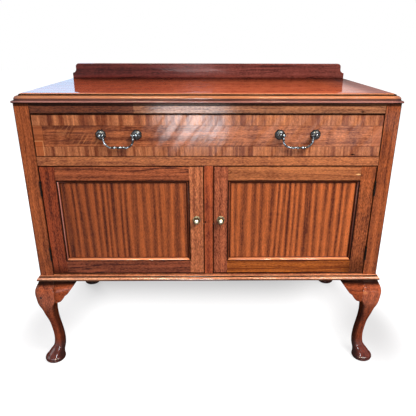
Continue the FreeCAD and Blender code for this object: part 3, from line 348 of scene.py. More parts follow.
def ripple(tree, place, along, across, detail=2.0, roughness=0.5):
    """The same noise, swinging about 0."""
    return less(tree, noise(tree, place, along, across, detail, roughness), 0.5)


def new_group(name, inputs, outputs):
    """An empty node group. Inputs hold a name, a type and a value, outputs the first two."""
    group = bpy.data.node_groups.new(name, "ShaderNodeTree")
    for label, kind, value in inputs:
        socket = group.interface.new_socket(label, in_out="INPUT", socket_type="NodeSocket" + kind)
        if value is not None:
            socket.default_value = value
    for label, kind in outputs:
        group.interface.new_socket(label, in_out="OUTPUT", socket_type="NodeSocket" + kind)
    given = group.nodes.new("NodeGroupInput").outputs
    return group, given, group.nodes.new("NodeGroupOutput").inputs


def use_group(tree, group, **given):
    """A group placed in a material. Its inputs are given by their names in lower case."""
    node = tree.nodes.new("ShaderNodeGroup")
    node.node_tree = group
    for name, value in given.items():
        plug(tree, value, node.inputs[name.replace("_", " ").title()])
    return node.outputs


def build_grain():
    """Mahogany with its grain along X: interlocked ribbons, streaks, mottle and pores."""
    group, given, result = new_group("mahogany_grain", [
        ("Vector", "Vector", None),
        ("Pale", "Color", (0.5, 0.2, 0.1, 1)),
        ("Dark", "Color", (0.2, 0.06, 0.03, 1)),
        ("Ribbon", "Float", 0.5),
        ("Ribbon Width", "Float", 0.02),
        ("Streak", "Float", 0.6),
        ("Mottle", "Float", 0.3),
        ("Lines", "Float", 0.3),
        ("Flecks", "Float", 0.5),
        ("Pores", "Float", 0.6),
    ], [("Color", "Color"), ("Height", "Float"), ("Roughness", "Float"), ("Gloss", "Float")])
    full_turn = 6.2832
    place = given["Vector"]
    drift = times(group, ripple(group, place, 2.2, 7), 0.03)
    aside = group.nodes.new("ShaderNodeCombineXYZ")
    group.links.new(drift, aside.inputs["Y"])
    group.links.new(drift, aside.inputs["Z"])
    wavy = vector_calc(group, "ADD", place, aside.outputs[0])
    y, z = split(group, place)[1:]
    turns = calc(group, "DIVIDE", calc(group, "ADD", y, z), given["Ribbon Width"])
    sway = calc(group, "ADD", times(group, noise(group, place, 0.5, 9, 1.0), 3.2),
                times(group, noise(group, place, 1.6, 40), 0.9))
    swing = calc(group, "SINE", times(group, calc(group, "ADD", turns, sway), full_turn))
    firm = raised(group, 0.25, noise(group, place, 1.2, 26, 1.0), 0.9)
    ribbon = times(group, swing, firm, given["Ribbon"])
    streak = ripple(group, wavy, 2.2, 80, 5.0, 0.74)
    mottle = ripple(group, place, 26, 12, 4.0, 0.68)
    fibre = ripple(group, wavy, 14, 700)
    flecks = ripple(group, wavy, 130, 430, 1.0)
    pores = eased(group, noise(group, wavy, 110, 2200, 0.0), 0.64, 0.74)
    off_line = off(group, noise(group, wavy, 1.3, 44, 1.0), 0.5)
    lines = times(group, eased(group, off_line, 0.020, 0.002), given["Lines"])
    tone = raised(group, 0.5, ribbon, 0.6)
    for part, strength, reach in ((streak, given["Streak"], 3.0), (mottle, given["Mottle"], 2.2),
                                  (flecks, given["Flecks"], 2.4), (fibre, 1.0, 0.5),
                                  (lines, 1.0, -0.7)):
        tone = raised(group, tone, times(group, part, strength), reach)
    tone = calc(group, "ADD", tone, 0.0, clamp=True)
    plain = mixed(group, tone, given["Dark"], given["Pale"])
    pore_share = times(group, pores, given["Pores"])
    pore_dark = mixed(group, 1.0, given["Dark"], (0.30, 0.25, 0.25, 1), "MULTIPLY")
    group.links.new(mixed(group, pore_share, plain, pore_dark), result["Color"])
    group.links.new(less(group, times(group, fibre, 0.3), pore_share), result["Height"])
    group.links.new(raised(group, 0.36, pore_share, 0.25), result["Roughness"])
    gloss = raised(group, left_over(group, times(group, pore_share, 0.5)), streak, 0.8)
    group.links.new(gloss, result["Gloss"])
    return group


def build_age():
    """Dark wax, soil and painted shade in the corners; polish made pale by hands and cloths, and
    painted highlights.
    """
    group, given, result = new_group("age", [("Color", "Color", (0.3, 0.1, 0.05, 1)),
                                             ("Grime", "Float", 0.0), ("Wear", "Float", 0.0)],
                                     [("Color", "Color"), ("Clean", "Float")])
    wear_and_highlight = mixed(group, 1.0, given["Color"], (1.45, 1.45, 1.40, 1), "MULTIPLY")
    worn_and_lit = mixed(group, given["Wear"], given["Color"], wear_and_highlight)
    group.links.new(mixed(group, given["Grime"], worn_and_lit, (0.010, 0.005, 0.004, 1)), result["Color"])
    group.links.new(left_over(group, given["Grime"]), result["Clean"])
    return group


def build_gap():
    """1 on the sides of a stick just behind the front, where painted shade and soil fill the gap
    beside it.
    """
    group, given, result = new_group("gap_dirt_and_shade", [("Vector", "Vector", None),
                                                  ("Normal", "Vector", None),
                                                  ("Within", "Float", 1.0)], [("Share", "Float")])
    facing_y = split(group, given["Normal"])[1]
    x, y, z = split(group, given["Vector"])
    side = eased(group, calc(group, "ABSOLUTE", facing_y), 0.9, 0.5)
    front = eased(group, y, -0.243, -0.251)
    inside = eased(group, less(group, calc(group, "ABSOLUTE", x), given["Within"]), 0.0, -0.0004)
    group.links.new(times(group, side, front, inside, 0.9), result["Share"])
    return group


grain_group = build_grain()
age_and_light_group = build_age()
gap_shade_group = build_gap()
grain_order = {"X": ("X", "Y", "Z"), "Y": ("Y", "Z", "X"), "Z": ("Z", "X", "Y")}


def turned_place(tree, axis, seed):
    """Object coordinates with the given axis first, moved to another part of the log."""
    join = tree.nodes.new("ShaderNodeCombineXYZ")
    parts = dict(zip("XYZ", place_parts(tree)))
    for source, target in zip(grain_order[axis], "XYZ"):
        tree.links.new(parts[source], join.inputs[target])
    return vector_calc(tree, "ADD", join.outputs[0], (seed * 1.7, seed * 0.9, seed * 2.3))


def cut_wood(tree, axis, seed, pale, dark, **figure):
    """Wood with its grain along one axis. The seed says where in the log it was cut."""
    return use_group(tree, grain_group, vector=turned_place(tree, axis, seed), pale=pale,
                     dark=dark, **figure)


def facing_parts(tree):
    """The x, y and z of the way that the surface faces."""
    return split(tree, tree.nodes.new("ShaderNodeTexCoord").outputs["Normal"])


def on_front(tree):
    """1 on a surface that faces the front, 0 on the others."""
    return eased(tree, facing_parts(tree)[1], -0.2, -0.6)


def gap_share(tree, within=1.0):
    """Dirt and painted shade in the gap beside a stick, as far out from the middle as within."""
    here = tree.nodes.new("ShaderNodeTexCoord").outputs
    return use_group(tree, gap_shade_group, vector=here["Object"], normal=here["Normal"],
                     within=within)["Share"]


def outline(tree, given, low, high, width=0.0018):
    """Dirt and painted shade round the arrises of a face that runs from low to high."""
    inward = calc(tree, "MINIMUM", less(tree, given, low), less(tree, high, given))
    return times(tree, eased(tree, inward, width, width * 0.3),
                 eased(tree, inward, -0.002, -0.001), 0.8, on_front(tree))


def polish(tree, wood, colour, clean=1.0, coat=0.6, coat_roughness=0.10, coat_ior=1.36,
           dull_rim=False):
    """Stained wood under a coat of shellac."""
    pore_depth = 0.00008
    bump = tree.nodes.new("ShaderNodeBump")
    bump.inputs["Distance"].default_value = pore_depth
    bump.inputs["Strength"].default_value = 0.6
    plug(tree, wood["Height"], bump.inputs["Height"])
    shader = tree.nodes.new("ShaderNodeBsdfPrincipled")
    plug(tree, colour, shader.inputs["Base Color"])
    plug(tree, wood["Roughness"], shader.inputs["Roughness"])
    tree.links.new(bump.outputs[0], shader.inputs["Normal"])
    shader.inputs["Specular IOR Level"].default_value = 0.0
    weight = times(tree, wood["Gloss"], clean, coat)
    if dull_rim:
        facing = tree.nodes.new("ShaderNodeLayerWeight").outputs["Facing"]
        rim = times(tree, eased(tree, facing, 0.25, 0.70), 0.97)
        weight = times(tree, weight, left_over(tree, rim))
    tree.links.new(weight, shader.inputs["Coat Weight"])
    shader.inputs["Coat Roughness"].default_value = coat_roughness
    shader.inputs["Coat IOR"].default_value = coat_ior
    show(tree, shader)
    return shader


def old_polish(tree, wood, colour, grime, wear=0.0, sheen=1.0, **coat):
    """The same polish with soil and painted shade in its corners, arrises paled by use and by
    painted highlights, and a sheen of its own.
    """
    aged_shaded_and_lit = use_group(tree, age_and_light_group, color=colour, grime=grime, wear=wear)
    polish(tree, wood, aged_shaded_and_lit["Color"], times(tree, aged_shaded_and_lit["Clean"], sheen), **coat)


under_top = (0.8465, 0.8495)


def top_shadow(tree, z):
    """A painted shadow: the dark line on posts and rail right under the top."""
    return times(tree, eased(tree, z, *under_top), 0.85)


post_inner_face = 0.4885
post_front = (0.488, 0.530)
post_wood, tree = new_material("post_mahogany")
x, y, z = place_parts(tree)
wood = cut_wood(tree, "Z", 0.0, tint(207, 108, 54), tint(94, 39, 20), ribbon=0.2,
                ribbon_width=0.03, streak=0.6, mottle=0.3, lines=0.4, flecks=0.5)
# Dirt and painted shade: the gaps beside the post, the painted shadow under the top and the
# front's arrises.
dirt_and_shade = most(tree, gap_share(tree, post_inner_face), top_shadow(tree, z),
            outline(tree, calc(tree, "ABSOLUTE", x), *post_front, 0.0022))
old_polish(tree, wood, wood["Color"], dirt_and_shade, coat=0.45)
for node in ("front_post_left", "front_post_right", "rear_posts"):
    finished(node, post_wood)

# The rails that tenon into the posts: three across the front and the ends' rails
# between front and rear posts. The top rail is faced with two lengths of veneer.
rail_end = 0.4868
middle_rail_front = (0.680, 0.708)
bottom_rail_front = (0.0, 0.330)
top_rail_front = (0.828, 1.0)
facing_joint = -0.2041
top_rail_bruise = (0.4254, 0.8328)


def rail_ends(tree, x):
    """The fine dark joint where a rail's shoulders meet the posts."""
    return times(tree, eased(tree, calc(tree, "ABSOLUTE", x), rail_end, rail_end + 0.0008), 0.7)


def spot(tree, given, middle, half_width, half_height, soft=0.25):
    """1 on a lozenge of the front with its middle at x and z, 0 outside it."""
    x, y, z = given
    out = calc(tree, "ADD", calc(tree, "DIVIDE", off(tree, x, middle[0]), half_width),
               calc(tree, "DIVIDE", off(tree, z, middle[1]), half_height))
    return times(tree, eased(tree, out, 1 + soft, 1 - soft), eased(tree, y, -0.24, -0.25))


def bruise(tree, given, middle):
    """A short dark dent along the grain."""
    return spot(tree, given, middle, 0.0075, 0.0024, 0.4)


rail_wood, tree = new_material("rail_mahogany")
x, y, z = place_parts(tree)
wood = cut_wood(tree, "X", 1.0, tint(226, 136, 80), tint(122, 60, 38), ribbon=0.2,
                ribbon_width=0.02, streak=0.7, mottle=0.5, lines=0.4, flecks=0.6)
# Dirt and painted shade in the gaps and along the front's arrises, with dark joints at the rail
# ends.
dirt_and_shade = most(tree, gap_share(tree), rail_ends(tree, x), outline(tree, z, *middle_rail_front),
            outline(tree, z, *bottom_rail_front))
old_polish(tree, wood, wood["Color"], dirt_and_shade)
finished("middle_rail", rail_wood)
finished("bottom_rail", rail_wood)

top_rail_wood, tree = new_material("top_rail_mahogany")
place = place_parts(tree)
x, y, z = place
right_length = eased(tree, x, facing_joint - 0.0005, facing_joint + 0.0005)
wood = cut_wood(tree, "X", 2.0, mixed(tree, right_length, tint(140, 72, 40), tint(198, 126, 80)),
                mixed(tree, right_length, tint(52, 22, 16), tint(104, 56, 34)),
                ribbon=0.3, ribbon_width=0.02, streak=0.8, mottle=0.3, lines=0.5)
# Dirt and painted shade: the gaps, the painted shadow under the top and the front's arrises; the
# joints and the bruise are real marks.
dirt_and_shade = most(tree, gap_share(tree), top_shadow(tree, z), rail_ends(tree, x),
            outline(tree, z, *top_rail_front, 0.0024),
            times(tree, bruise(tree, place, top_rail_bruise), 0.8))
old_polish(tree, wood, wood["Color"], dirt_and_shade, coat_roughness=0.13)
finished("top_rail", top_rail_wood)


def mahogany(name, axis, seed, pale, dark, **figure):
    """A plain polished mahogany with its grain along one axis."""
    material, tree = new_material(name)
    wood = cut_wood(tree, axis, seed, pale, dark, **figure)
    polish(tree, wood, wood["Color"])
    return material


finished("side_rails", mahogany("end_rail_mahogany", "Y", 3.0, tint(184, 102, 60),
                                tint(104, 50, 30), ribbon=0.25, ribbon_width=0.03,
                                streak=0.8, mottle=0.4))

# The upright between the doors, tenoned between middle and bottom rail. It has one
# small dark mark.
muntin_half_width = 0.0135
dark_mark = (-0.0097, 0.5055)
muntin_wood, tree = new_material("muntin_mahogany")
place = place_parts(tree)
wood = cut_wood(tree, "Z", 4.0, tint(216, 104, 54), tint(118, 46, 26), ribbon=0.2,
                ribbon_width=0.02, streak=0.8, mottle=0.5)
# Dirt and painted shade in the gaps and along its front's arrises, and one dark mark.
dirt_and_shade = most(tree, gap_share(tree),
            outline(tree, calc(tree, "ABSOLUTE", place[0]), -1.0, muntin_half_width),
            spot(tree, place, dark_mark, 0.0034, 0.0034))
old_polish(tree, wood, wood["Color"], dirt_and_shade, coat=0.45)
finished("centre_muntin", muntin_wood)

# The ends: thin flat panels of ribbon-figured mahogany, cut from quartered boards
# and let into grooves in the posts and rails.
end_panel_wood = mahogany("end_panel_mahogany", "Z", 5.0, tint(190, 102, 56), tint(98, 44, 26),
                          ribbon=0.8, ribbon_width=0.03, streak=0.4, mottle=0.2, lines=0.2)
finished("side_panel_left", end_panel_wood)
finished("side_panel_right", end_panel_wood)


# The hidden framing is a plain pale hardwood, planed and left bare: the back's
# rails, runners, kickers, stops, the bottom, and the shelf with its bearers.
def bare_wood(name, axis, seed, pale=tint(184, 142, 100), dark=tint(134, 94, 60), **figure):
    """Unpolished pale wood, browned by age."""
    material, tree = new_material(name)
    wood = cut_wood(tree, axis, seed, pale, dark, pores=0.35, **figure)
    shader = polish(tree, wood, wood["Color"], coat=0.0)
    shader.inputs["Specular IOR Level"].default_value = 0.25
    return material


plain_figure = {"ribbon": 0.3, "ribbon_width": 0.025, "streak": 0.6, "mottle": 0.25, "lines": 0.2}
bare_across = bare_wood("bare_hardwood_across", "X", 6.0, **plain_figure)
bare_deep = bare_wood("bare_hardwood_deep", "Y", 7.0, **plain_figure)
bare_upright = bare_wood("bare_hardwood_upright", "Z", 8.0, **plain_figure)
for node in ("back_rails", "drawer_stops", "bottom_board", "shelf"):
    finished(node, bare_across)
for node in ("drawer_runners", "drawer_kickers", "shelf_bearers"):
    finished(node, bare_deep)

# The back and the dust board are three-ply panels, pinned and slid in. Rotary
# cutting gives them a wide wild figure. The back is stained brown.
ply_figure = {"ribbon": 0.7, "ribbon_width": 0.06, "streak": 0.35, "mottle": 0.15, "lines": 0.6}
finished("back_panel", bare_wood("back_plywood", "Z", 9.0, tint(156, 112, 74),
                                 tint(112, 74, 46), **ply_figure))
board_ply = bare_wood("board_plywood", "X", 10.0, tint(204, 170, 124), tint(164, 124, 82),
                      **ply_figure)
finished("dust_board", board_ply)

# Four cabriole legs, sawn and spokeshaved from square stock, with a round pad
# foot turned at the end. The leg's top block is fixed under the post. The right
# knee has a pale plug, and the left one a nail mark.
knee_shadow = (0.288, 0.299)
pad_rim = 0.0125
knee_plug = (0.4964, 0.2701)
nail_mark = (-0.5303, 0.2562)


def under_case(tree, z):
    """A painted shadow: the shade that the case throws on the tops of knees and brackets."""
    return times(tree, eased(tree, z, *knee_shadow), 0.95)


def shaded_inner_side(tree, x):
    """1 on the side of a leg that faces the other legs, which is painted darker as shade."""
    outwards = times(tree, facing_parts(tree)[0], calc(tree, "SIGN", x))
    return eased(tree, outwards, -0.15, -0.80)


leg_wood, tree = new_material("leg_mahogany")
place = place_parts(tree)
x, y, z = place
wood = cut_wood(tree, "Z", 11.0, tint(222, 110, 60), tint(104, 42, 24), ribbon=0.2,
                ribbon_width=0.02, streak=0.5, mottle=0.45, lines=0.2, flecks=0.6)
shin = times(tree, eased(tree, z, 0.235, 0.15), 0.60)
foot = times(tree, eased(tree, z, 0.085, 0.045), 0.40)
shin_dark = mixed(tree, 1.0, wood["Color"], (0.30, 0.16, 0.15, 1), "MULTIPLY")
colour = mixed(tree, calc(tree, "ADD", shin, foot), wood["Color"], shin_dark)
colour = mixed(tree, spot(tree, place, knee_plug, 0.0080, 0.0062, 0.1), colour,
               tint(206, 118, 68))
colour = mixed(tree, spot(tree, place, nail_mark, 0.0045, 0.0045), colour, tint(30, 16, 14))
# Painted shade: the crease at the pad's rim, the inner sides, the fronts of the rear legs under
# the case, and the case's shadow on the knees.
pad_rim_shade = eased(tree, off(tree, z, pad_rim), 0.0022, 0.0006)
rear_leg_shade = times(tree, eased(tree, y, 0.10, 0.20), on_front(tree))
dirt_and_shade = most(tree, under_case(tree, z), times(tree, pad_rim_shade, 0.6),
            times(tree, shaded_inner_side(tree, x), 0.75), times(tree, rear_leg_shade, 0.85))
on_knee = times(tree, eased(tree, z, 0.17, 0.25), 0.6)
on_shin = times(tree, eased(tree, z, 0.05, 0.08), left_over(tree, on_knee))
old_polish(tree, wood, colour, dirt_and_shade, sheen=raised(tree, 0.22, left_over(tree, on_shin), 0.78),
           coat=0.9, coat_ior=1.45, dull_rim=True)
for node in ("front_leg_left", "front_leg_right", "rear_leg_left", "rear_leg_right"):
    finished(node, leg_wood, arris=0, flat=False)

# The knee brackets are shaped blocks glued beside each leg under the frame, with
# their grain level, so that a fine joint shows beside the knee.
for node, axis, seed in (("front_knee_brackets", "X", 12.0), ("side_knee_brackets", "Y", 12.5)):
    bracket_wood, tree = new_material(node + "_mahogany")
    x, y, z = place_parts(tree)
    wood = cut_wood(tree, axis, seed, tint(206, 100, 56), tint(94, 38, 23), ribbon=0.2,
                    ribbon_width=0.02, streak=0.5, mottle=0.45, lines=0.2, flecks=0.6)
    # Painted shade: the case's shadow on the bracket tops and darker inner sides.
    dirt_and_shade = most(tree, under_case(tree, z), times(tree, shaded_inner_side(tree, x), 0.5))
    old_polish(tree, wood, wood["Color"], dirt_and_shade, coat=0.2, coat_roughness=0.16, dull_rim=True)
    finished(node, bracket_wood, arris=0)


# The moulding round the foot of the case, run from solid mahogany, mitred at the two front corners
# and pinned on. Wax and painted shade darken its step and its foot, and painted highlights run
# along its rounds.
def between(tree, given, low, high, soft=0.0004):
    """1 between two places, 0 outside them."""
    return times(tree, eased(tree, given, low - soft, low + soft),
                 eased(tree, given, high + soft, high - soft))


def bands(tree, z, *given):
    """Bands round a moulding. Each holds its low and high edge and its share."""
    return most(tree, 0.0, *[times(tree, between(tree, z, low, high), share)
                             for low, high, share in given])


moulding_gloss = {"coat": 1.0, "coat_roughness": 0.07, "coat_ior": 1.5}
side_lengths_start = -0.2600
base_wood, tree = new_material("base_moulding_mahogany")
x, y, z = place_parts(tree)
on_sides = eased(tree, y, side_lengths_start - 0.0002, side_lengths_start + 0.0002)
along = mixed(tree, on_sides, turned_place(tree, "X", 13.0), turned_place(tree, "Y", 13.0),
              kind="VECTOR")
wood = use_group(tree, grain_group, vector=along, pale=tint(238, 162, 114),
                 dark=tint(150, 84, 58), streak=0.5, ribbon=0.1, mottle=0.3, lines=0.2)
patchy = raised(tree, 0.45, noise(tree, along, 9, 30, 3.0, 0.6), 0.9)
# Bands of painted shade with wax in the step and at the foot, and of painted highlight on the
# rounds.
wax_and_shade = bands(tree, z, (0.3184, 0.3230, 1.0), (0.308, 0.3132, 0.85))
wear_and_highlight = bands(tree, z, (0.3232, 0.3250, 1.0), (0.3146, 0.3180, 1.0))
old_polish(tree, wood, wood["Color"], times(tree, wax_and_shade, patchy), times(tree, wear_and_highlight, patchy),
           **moulding_gloss)
finished("base_mouldings", base_wood, arris=0)

# The top: a solid board with a moulded edge on the front and both ends, French polished so that it
# mirrors the gallery and the windows. Its right end is dull and carries a painted reflection of
# window panes, and its left end is painted darker under the glare.
top_level = 0.8802
glare = (0.05, -0.25)
dull_end = (0.40, 0.48)
top_wood, tree = new_material("top_mahogany")
x, y, z = place_parts(tree)
wood = cut_wood(tree, "X", 14.0, tint(244, 126, 80), tint(152, 56, 36), ribbon=0.35,
                ribbon_width=0.05, streak=0.45, mottle=0.4, lines=0.15, flecks=0.12)
# The top is painted darker towards its left end, under the sky's glare.
painted_dark_under_glare = times(tree, eased(tree, x, *glare), 0.35)
colour = mixed(tree, painted_dark_under_glare, wood["Color"], tint(120, 44, 38))
# A painted reflection of window panes, grey-pink, on the right end of the top.
reflected_panes = eased(tree, noise(tree, turned_place(tree, "Y", 2.0), 0.8, 34, 1.0), 0.40, 0.60)
painted_pane_reflection = times(tree, eased(tree, x, 0.37, 0.45), raised(tree, 0.42, reflected_panes, 0.34))
colour = mixed(tree, painted_pane_reflection, colour, tint(112, 74, 72))
# The moulded edge is paler than the top, partly wear and partly painted highlight, and greyer
# towards its foot, a painted reflection in its cove.
lower_edge = eased(tree, z, 0.8690, 0.8660)
edge_tone = mixed(tree, lower_edge, tint(174, 117, 76), tint(148, 108, 102))
edge_colour = mixed(tree, 0.75, wood["Color"], edge_tone)
corner = times(tree, eased(tree, calc(tree, "ABSOLUTE", x), 0.500, 0.530), 0.7)
edge_colour = mixed(tree, corner, edge_colour, tint(92, 60, 62))
# Bands of painted shade with wax in the edge's step and cove and under its bead, and of painted
# highlight on its rounds.
wax_and_shade = bands(tree, z, (0.8748, 0.8784, 1.0), (0.8618, 0.8672, 0.75), (0.850, 0.8576, 0.8))
wear_and_highlight = bands(tree, z, (0.8786, 0.8801, 0.8), (0.8685, 0.8735, 0.6), (0.8582, 0.8610, 0.7))
patchy = raised(tree, 0.6, noise(tree, turned_place(tree, "X", 3), 9, 20, 3.0), 0.7)
on_edge = eased(tree, z, top_level, top_level - 0.0004)
old_polish(tree, wood, mixed(tree, on_edge, colour, edge_colour), times(tree, wax_and_shade, patchy),
           times(tree, wear_and_highlight, patchy),
           sheen=left_over(tree, times(tree, eased(tree, x, *dull_end), 0.68)),
           coat=0.55, coat_roughness=0.05)
finished("top_board", top_wood, arris=0)

# The low gallery stands in a shallow housing along the back of the top, held by
# four dowels. It was stained a darker red than the rest, most at the left.
gallery_arris = 0.0010
gallery_wood, tree = new_material("gallery_mahogany")
x, y, z = place_parts(tree)
at_left = eased(tree, x, 0.05, -0.20)
wood = cut_wood(tree, "X", 15.0, mixed(tree, at_left, tint(144, 70, 58), tint(122, 52, 46)),
                mixed(tree, at_left, tint(72, 27, 22), tint(56, 20, 20)),
                ribbon=0.3, ribbon_width=0.02, streak=0.7, mottle=0.3, lines=0.6)
# Painted shade with soil darkens its foot where it meets the top, and a painted highlight with
# wear pales its top arris.
old_polish(tree, wood, wood["Color"], times(tree, eased(tree, z, 0.886, 0.8805), 0.7),
           times(tree, eased(tree, z, 0.9305, 0.9325), 0.8), coat_roughness=0.12)
finished("gallery_board", gallery_wood, arris=gallery_arris)
finished("gallery_dowels", bare_upright, arris=0)


# Steel screws through the kickers hold the top from below. The balls of the doors'
# catches are steel too.
def metal(name, seed, dull, bright, scale, share, rough):
    """Bare metal with duller and brighter patches. rough is the roughness of each."""
    material, tree = new_material(name)
    patches = noise(tree, turned_place(tree, "X", seed), scale, scale, 3.0, 0.6)
    patches = eased(tree, patches, *share)
    tone = mixed(tree, patches, dull, bright)
    shader = tree.nodes.new("ShaderNodeBsdfPrincipled")
    tree.links.new(tone, shader.inputs["Base Color"])
    tree.links.new(raised(tree, rough[0], patches, rough[1] - rough[0]),
                   shader.inputs["Roughness"])
    shader.inputs["Metallic"].default_value = 1
    show(tree, shader)
    return material, tree, shader, tone


steel = metal("screw_steel", 16.0, tint(112, 108, 104), tint(176, 174, 170), scale=260,
              share=(0.4, 0.6), rough=(0.5, 0.28))[0]
finished("top_screws", steel, arris=0)
for node in ("door_left_catch_ball", "door_right_catch_ball"):
    finished(node, steel, arris=0, flat=False)

# The drawer front is veneered: a field with its grain along the front, bands of
# crossgrain veneer above and below it, and a fine seam between them. The left end
# has a patch let in, and the right one a bruise.
band_low, band_high = 0.7362, 0.7952
end_band = 0.4600
field_joint = -0.1185
drawer_bruise = (0.4106, 0.7131)
patch_x, patch_z = (-0.49, -0.4640), (0.700, 0.7510)
patch_rim_x, patch_rim_z = -0.4634, 0.7516
flame_slant = 0.95
band_lean = 0.02
drawer_low, drawer_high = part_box("drawer_front")


def turned(tree, given, axis, angle):
    """A place turned round one axis."""
    turn = tree.nodes.new("ShaderNodeVectorRotate")
    turn.rotation_type = axis + "_AXIS"
    turn.inputs["Angle"].default_value = angle
    tree.links.new(given, turn.inputs["Vector"])
    return turn.outputs[0]


def hairline(tree, given, at, width=0.0007):
    """1 on a fine line where the given value passes the given place."""
    return eased(tree, off(tree, given, at), width, width * 0.3)


drawer_face, tree = new_material("drawer_veneer")
place = place_parts(tree)
x, y, z = place
along = turned_place(tree, "X", 17.0)
# The veneer grows paler towards the right, partly its own tone and partly painted light.
paler_and_lit_towards_right = eased(tree, x, -0.15, 0.30)
field = use_group(tree, grain_group, vector=along,
                  pale=mixed(tree, paler_and_lit_towards_right, tint(208, 119, 74), tint(224, 136, 90)),
                  dark=mixed(tree, paler_and_lit_towards_right, tint(110, 53, 34), tint(126, 66, 46)),
                  ribbon=0.25, ribbon_width=0.03, streak=0.8, mottle=0.8, lines=0.6)
slanting = turned(tree, along, "Y", flame_slant)
flame = ripple(tree, slanting, 26, 190, 2.0, 0.6)
flame = times(tree, flame, eased(tree, noise(tree, along, 5.5, 9, 1.0), 0.46, 0.60))
flame_dark = calc(tree, "MULTIPLY", flame, 2.6, clamp=True)
flame_pale = calc(tree, "MULTIPLY", flame, -2.6, clamp=True)
streaks = eased(tree, noise(tree, along, 3.0, 95, 2.0, 0.6), 0.50, 0.66)
streaks = times(tree, streaks, raised(tree, 0.25, eased(tree, x, 0.0, -0.3), 0.45))
field_colour = mixed(tree, streaks, field["Color"], tint(70, 32, 30))
field_colour = mixed(tree, flame_dark, field_colour, tint(84, 42, 30))
field_colour = mixed(tree, flame_pale, field_colour, tint(216, 136, 84))

upright = turned(tree, turned_place(tree, "Z", 18.0), "Z", band_lean)
low_band = eased(tree, z, band_low + 0.0002, band_low - 0.0002)
high_band = eased(tree, z, band_high - 0.0002, band_high + 0.0002)
in_band = most(tree, low_band, high_band)
bars = mixed(tree, low_band, noise(tree, upright, 2.5, 66, 1.5),
             noise(tree, upright, 2.5, 88, 1.5), kind="FLOAT")
bar_tone = eased(tree, bars, 0.34, 0.60)
band = use_group(tree, grain_group, vector=upright,
                 pale=mixed(tree, bar_tone, tint(164, 88, 55), tint(226, 142, 92)),
                 dark=mixed(tree, bar_tone, tint(100, 48, 33), tint(156, 88, 58)),
                 ribbon=0.25, ribbon_width=0.012, streak=0.6, mottle=0.4, lines=0.2)
colour = mixed(tree, in_band, field_colour, band["Color"])
out_x = calc(tree, "ABSOLUTE", x)
end_strip = times(tree, eased(tree, out_x, end_band, end_band + 0.0004), left_over(tree, in_band))
colour = mixed(tree, times(tree, end_strip, 0.5), colour, tint(186, 100, 56))
in_patch = times(tree, between(tree, x, *patch_x, 0.0002), between(tree, z, *patch_z, 0.0002))
colour = mixed(tree, times(tree, in_patch, 0.6), colour, tint(190, 96, 50))

upright_seams = most(tree, hairline(tree, out_x, end_band), hairline(tree, x, field_joint))
seams = most(tree, hairline(tree, z, band_low), hairline(tree, z, band_high),
             times(tree, upright_seams, left_over(tree, in_band)))
# Dirt and painted shade in the gaps and round the front's arrises; the seams and the bruise are
# real marks.
dirt_and_shade = most(tree, gap_share(tree), times(tree, seams, 0.55),
            outline(tree, x, drawer_low[0], drawer_high[0]),
            outline(tree, z, drawer_low[2] - 0.0006, drawer_high[2], 0.0026),
            bruise(tree, place, drawer_bruise))
aged_shaded_and_lit = use_group(tree, age_and_light_group, color=colour, grime=dirt_and_shade)
patch_side = times(tree, hairline(tree, x, patch_rim_x, 0.0014), between(tree, z, 0.70, 0.7512))
patch_head = times(tree, hairline(tree, z, patch_rim_z, 0.0014),
                   between(tree, x, -0.49, -0.4636))
colour = mixed(tree, times(tree, most(tree, patch_side, patch_head), 0.75), aged_shaded_and_lit["Color"],
               tint(230, 158, 104))
smears = raised(tree, 0.35, eased(tree, noise(tree, slanting, 6, 52), 0.36, 0.60), 0.75)
smears = times(tree, smears, raised(tree, 0.45, eased(tree, x, -0.16, -0.08), 0.55))
polish(tree, field, colour, times(tree, aged_shaded_and_lit["Clean"], smears), coat=0.7, coat_roughness=0.12)
finished("drawer_front", drawer_face)

# The drawer's box: sides lap-dovetailed to the front, a back let in between them
# and a plywood bottom in grooves.
finished("drawer_sides", bare_deep)
finished("drawer_back", bare_across)
finished("drawer_bottom", board_ply)

# Two cast drop handles of dark bronze, rubbed where a hand takes them, with painted highlights of
# pale bluish metal on those rubbed places. Lobed rosettes sit on the veneer, posts run through
# them to brass nuts inside, and the bail swings on pins in the posts.
bronze, tree, shader, tone = metal("handle_bronze", 19.0, tint(16, 15, 15), tint(46, 44, 42),
                                   scale=260, share=(0.40, 0.62), rough=(0.32, 0.20))
# Pale bluish patches on the handles' fronts: rubbed bronze and painted highlight.
wear_and_highlight = eased(tree, noise(tree, turned_place(tree, "X", 19.5), 230, 230), 0.51, 0.65)
wear_and_highlight = times(tree, wear_and_highlight, eased(tree, place_parts(tree)[1], -0.262, -0.274))
tree.links.new(mixed(tree, wear_and_highlight, tone, tint(164, 176, 188)), shader.inputs["Base Color"])
tree.links.new(raised(tree, 0.45, wear_and_highlight, 0.5), shader.inputs["Metallic"])
for node in ("handle_rosettes", "handle_posts", "bail_left", "bail_right"):
    finished(node, bronze, arris=0, flat=False)

old_brass = metal("old_brass", 20.0, tint(15, 12, 11), tint(40, 33, 26), scale=200,
                  share=(0.44, 0.70), rough=(0.55, 0.38))[0]
finished("handle_nuts", old_brass, arris=0)

